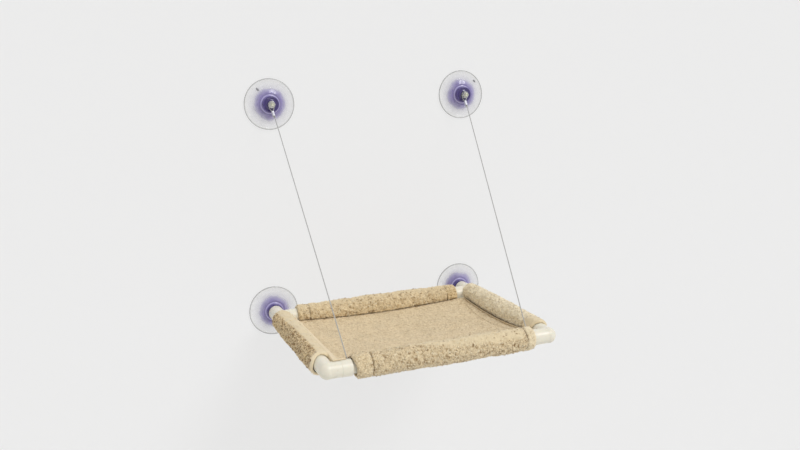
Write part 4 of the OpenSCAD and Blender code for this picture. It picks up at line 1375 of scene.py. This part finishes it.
panel = panel_skin(moves["bed_panel"])
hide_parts("bed_panel")
fine_curls = curls_on(panel, 4.1, 1.15, 0.42, 4.0, 71, 5, panel_curls,
                      "bed_panel_curls")
settle("bed", "curly_fleece", panel, fine_curls)
print("panel", len(panel.data.polygons), "faces,", len(fine_curls.data.polygons), "curl faces")

# %% Flap over the front left elbow
flap_from, flap_to, notch_x = -225.5, -189.2, -193.4
flap_under_r, flap_r, flap_puff, notch_r = 17.1, 17.5, 2.4, 19.7


def flap_front(x):
    """Degrees behind the top of the elbow's arm at which the flap ends. The cable's notch is cut deep."""
    return -2 + 58 * math.exp(-((x - notch_x) / 3.9) ** 4)


def flap_skin(cols=64, rows=36):
    """The folded corner over the elbow's arm, from just behind its top, with a notch for the cable."""
    values, verts = [], []
    for layer, i, j in layer_points(cols, rows):
        x = flap_from + (flap_to - flap_from) * i / cols
        front = flap_front(x)
        back = 50 + 48 * fade(x, -222, -215)
        d = front + (back - front) * j / rows
        rim = min((d - front) * 0.3, x - flap_from, flap_to - x)
        uneven = noise.noise(Vector((x, d * 0.3, 2.0)) / 3) + noise.noise(Vector((x, d * 0.3, 5.0)) / 1.3)
        r = flap_under_r if layer else flap_r + flap_puff * math.sqrt(min(1, max(0, rim) / 2)) + 0.3 * uneven
        out = Vector((0, math.sin(math.radians(d)), math.cos(math.radians(d))))
        verts.append((Vector((x, front_y, 0)) + out * r) * MM)
        # Painted shade: dark at the cable's notch, along the flap's front edge, on its underside and at its
        # thin rim.
        notch = bump_at(x, notch_x, 5.5) * fade(46 - (d - front), 0, 40)
        deep = 0.9 if j == 0 or layer else max(notch, 0.45 * fade(1.4 - rim, 0, 1))
        values.append((deep, 0.5, 0.0, 0.8 if not layer and rim > 1 else 0.0))
    return skin_object("bed_panel_flap", verts, two_layers(cols, rows), values, panel_fleece)


flap = flap_skin()
flap_curls = curls_on(flap, 3.6, 1.1, 0.42, 4.0, 19, 5, panel_curls)
# A dark cord along the notch's edge: a bound seam, and painted shade of the notch.
notch_edge = [[Vector((x, front_y + notch_r * math.sin(d), notch_r * math.cos(d))) * MM
               for x, d in ((x, math.radians(flap_front(x))) for x in (-199 + k * 0.25 for k in range(42)))]]
notch_seam_and_shade = swept_line("bed_panel_notch_seam", notch_edge, 0.85 * MM, seam_thread_and_shade, 8)
settle("bed", "curly_fleece", flap, flap_curls, notch_seam_and_shade)
print("flap", len(flap.data.polygons), "faces")

# %% Piping and sewn lines of the panel
def on_panel(u, v, above):
    return (panel_point(u, v) + bridge(u, v) + Vector((0, 0, above))) * MM


piping = swept_line("right_edge_piping", [[on_panel(0.9915, v / 60, 0.4) for v in range(3, 57)]],
                    1.7 * MM, piping_cloth, 10)
inner_line = [on_panel(right_seam(v / 60) / panel_wide, v / 60, -0.9) for v in range(7, 55)]
panel_sewing = stitches("bed_panel_stitches", [inner_line], 3.6, 2.6, 0.7, thread)
# The join stitches run along the crease at the right sleeve and along the rear sleeve; their dark thread is
# also painted shade of those creases.
join_lines = [[on_panel(0.9985, v / 60, 1.4) for v in range(2, 58)],
              [on_panel(u / 60, 0.002, 1.0) for u in range(2, 58)]]
join_stitches_and_shade = stitches("bed_panel_join_stitches", join_lines, 3.1, 3.0, 1.5, seam_thread_and_shade)
settle("bed", "curly_fleece", piping, panel_sewing, join_stitches_and_shade)
print("panel piping and stitches are sewn")

# %% [markdown]
# ## The stage and the light
# The room side is a pale wall just behind the cups and a pale floor well below the bed. Seen from
# behind, the wall is see-through, so that the back of the cups shows. A soft sun from the upper right
# and a white world light the object at about the level at which colours look as they are written.

# %% Wall and floor
def mix(tree, share, first, second):
    return put(tree, "ShaderNodeMixShader", {0: share, 1: first.outputs[0], 2: second.outputs[0]})


def stage_material(name, colour, glow):
    material, tree = new_material(name)
    matt = put(tree, "ShaderNodeBsdfDiffuse", {"Color": colour})
    shine = put(tree, "ShaderNodeEmission", {"Color": colour, "Strength": 1.0})
    rays = put(tree, "ShaderNodeLightPath").outputs
    seen = maths(tree, "MAXIMUM", rays["Is Camera Ray"],
                 maths(tree, "MAXIMUM", rays["Is Glossy Ray"], rays["Is Transmission Ray"]))
    level = mix(tree, maths(tree, "MULTIPLY", seen, glow), matt, shine)
    back = put(tree, "ShaderNodeNewGeometry").outputs["Backfacing"]
    surface = mix(tree, back, level, put(tree, "ShaderNodeBsdfTransparent"))
    put(tree, "ShaderNodeOutputMaterial", {"Surface": surface.outputs[0]})
    return material


far, floor_z, wall_y, wall_top = 6, -0.8, 0.002, 5
corners = {"wall": [(wall_y, floor_z), (wall_y, wall_top)], "floor": [(-far, floor_z), (far, floor_z)]}
glows = {"wall": (srgb(237, 237, 237), 0.8), "floor": (srgb(238, 238, 237), 0.55)}
for name, ((y0, z0), (y1, z1)) in corners.items():
    sheet = mesh_object(name, [(-far, y0, z0), (far, y0, z0), (far, y1, z1), (-far, y1, z1)], [(0, 1, 2, 3)])
    sheet.data.materials.append(stage_material("pale_" + name, *glows[name]))

# %% Lights
world = bpy.data.worlds.new("room_light")
bpy.context.scene.world = world
world.use_nodes = True
tree = world.node_tree
tree.nodes.clear()
sky = put(tree, "ShaderNodeBackground", {"Color": srgb(255, 254, 252), "Strength": 0.62})
white = put(tree, "ShaderNodeBackground", {"Color": srgb(240, 240, 240), "Strength": 1.0})
both = mix(tree, put(tree, "ShaderNodeLightPath").outputs["Is Camera Ray"], sky, white)
put(tree, "ShaderNodeOutputWorld", {"Surface": both.outputs[0]})

lamp = bpy.data.lights.new("key", "SUN")
lamp.energy = 1.35
lamp.angle = math.radians(28)
in_scene("key", lamp).rotation_euler = Vector((-0.55, 0.75, -0.9)).to_track_quat("-Z", "Y").to_euler()
bpy.context.scene.view_settings.view_transform = "Standard"
print("light: one soft sun and a white world")
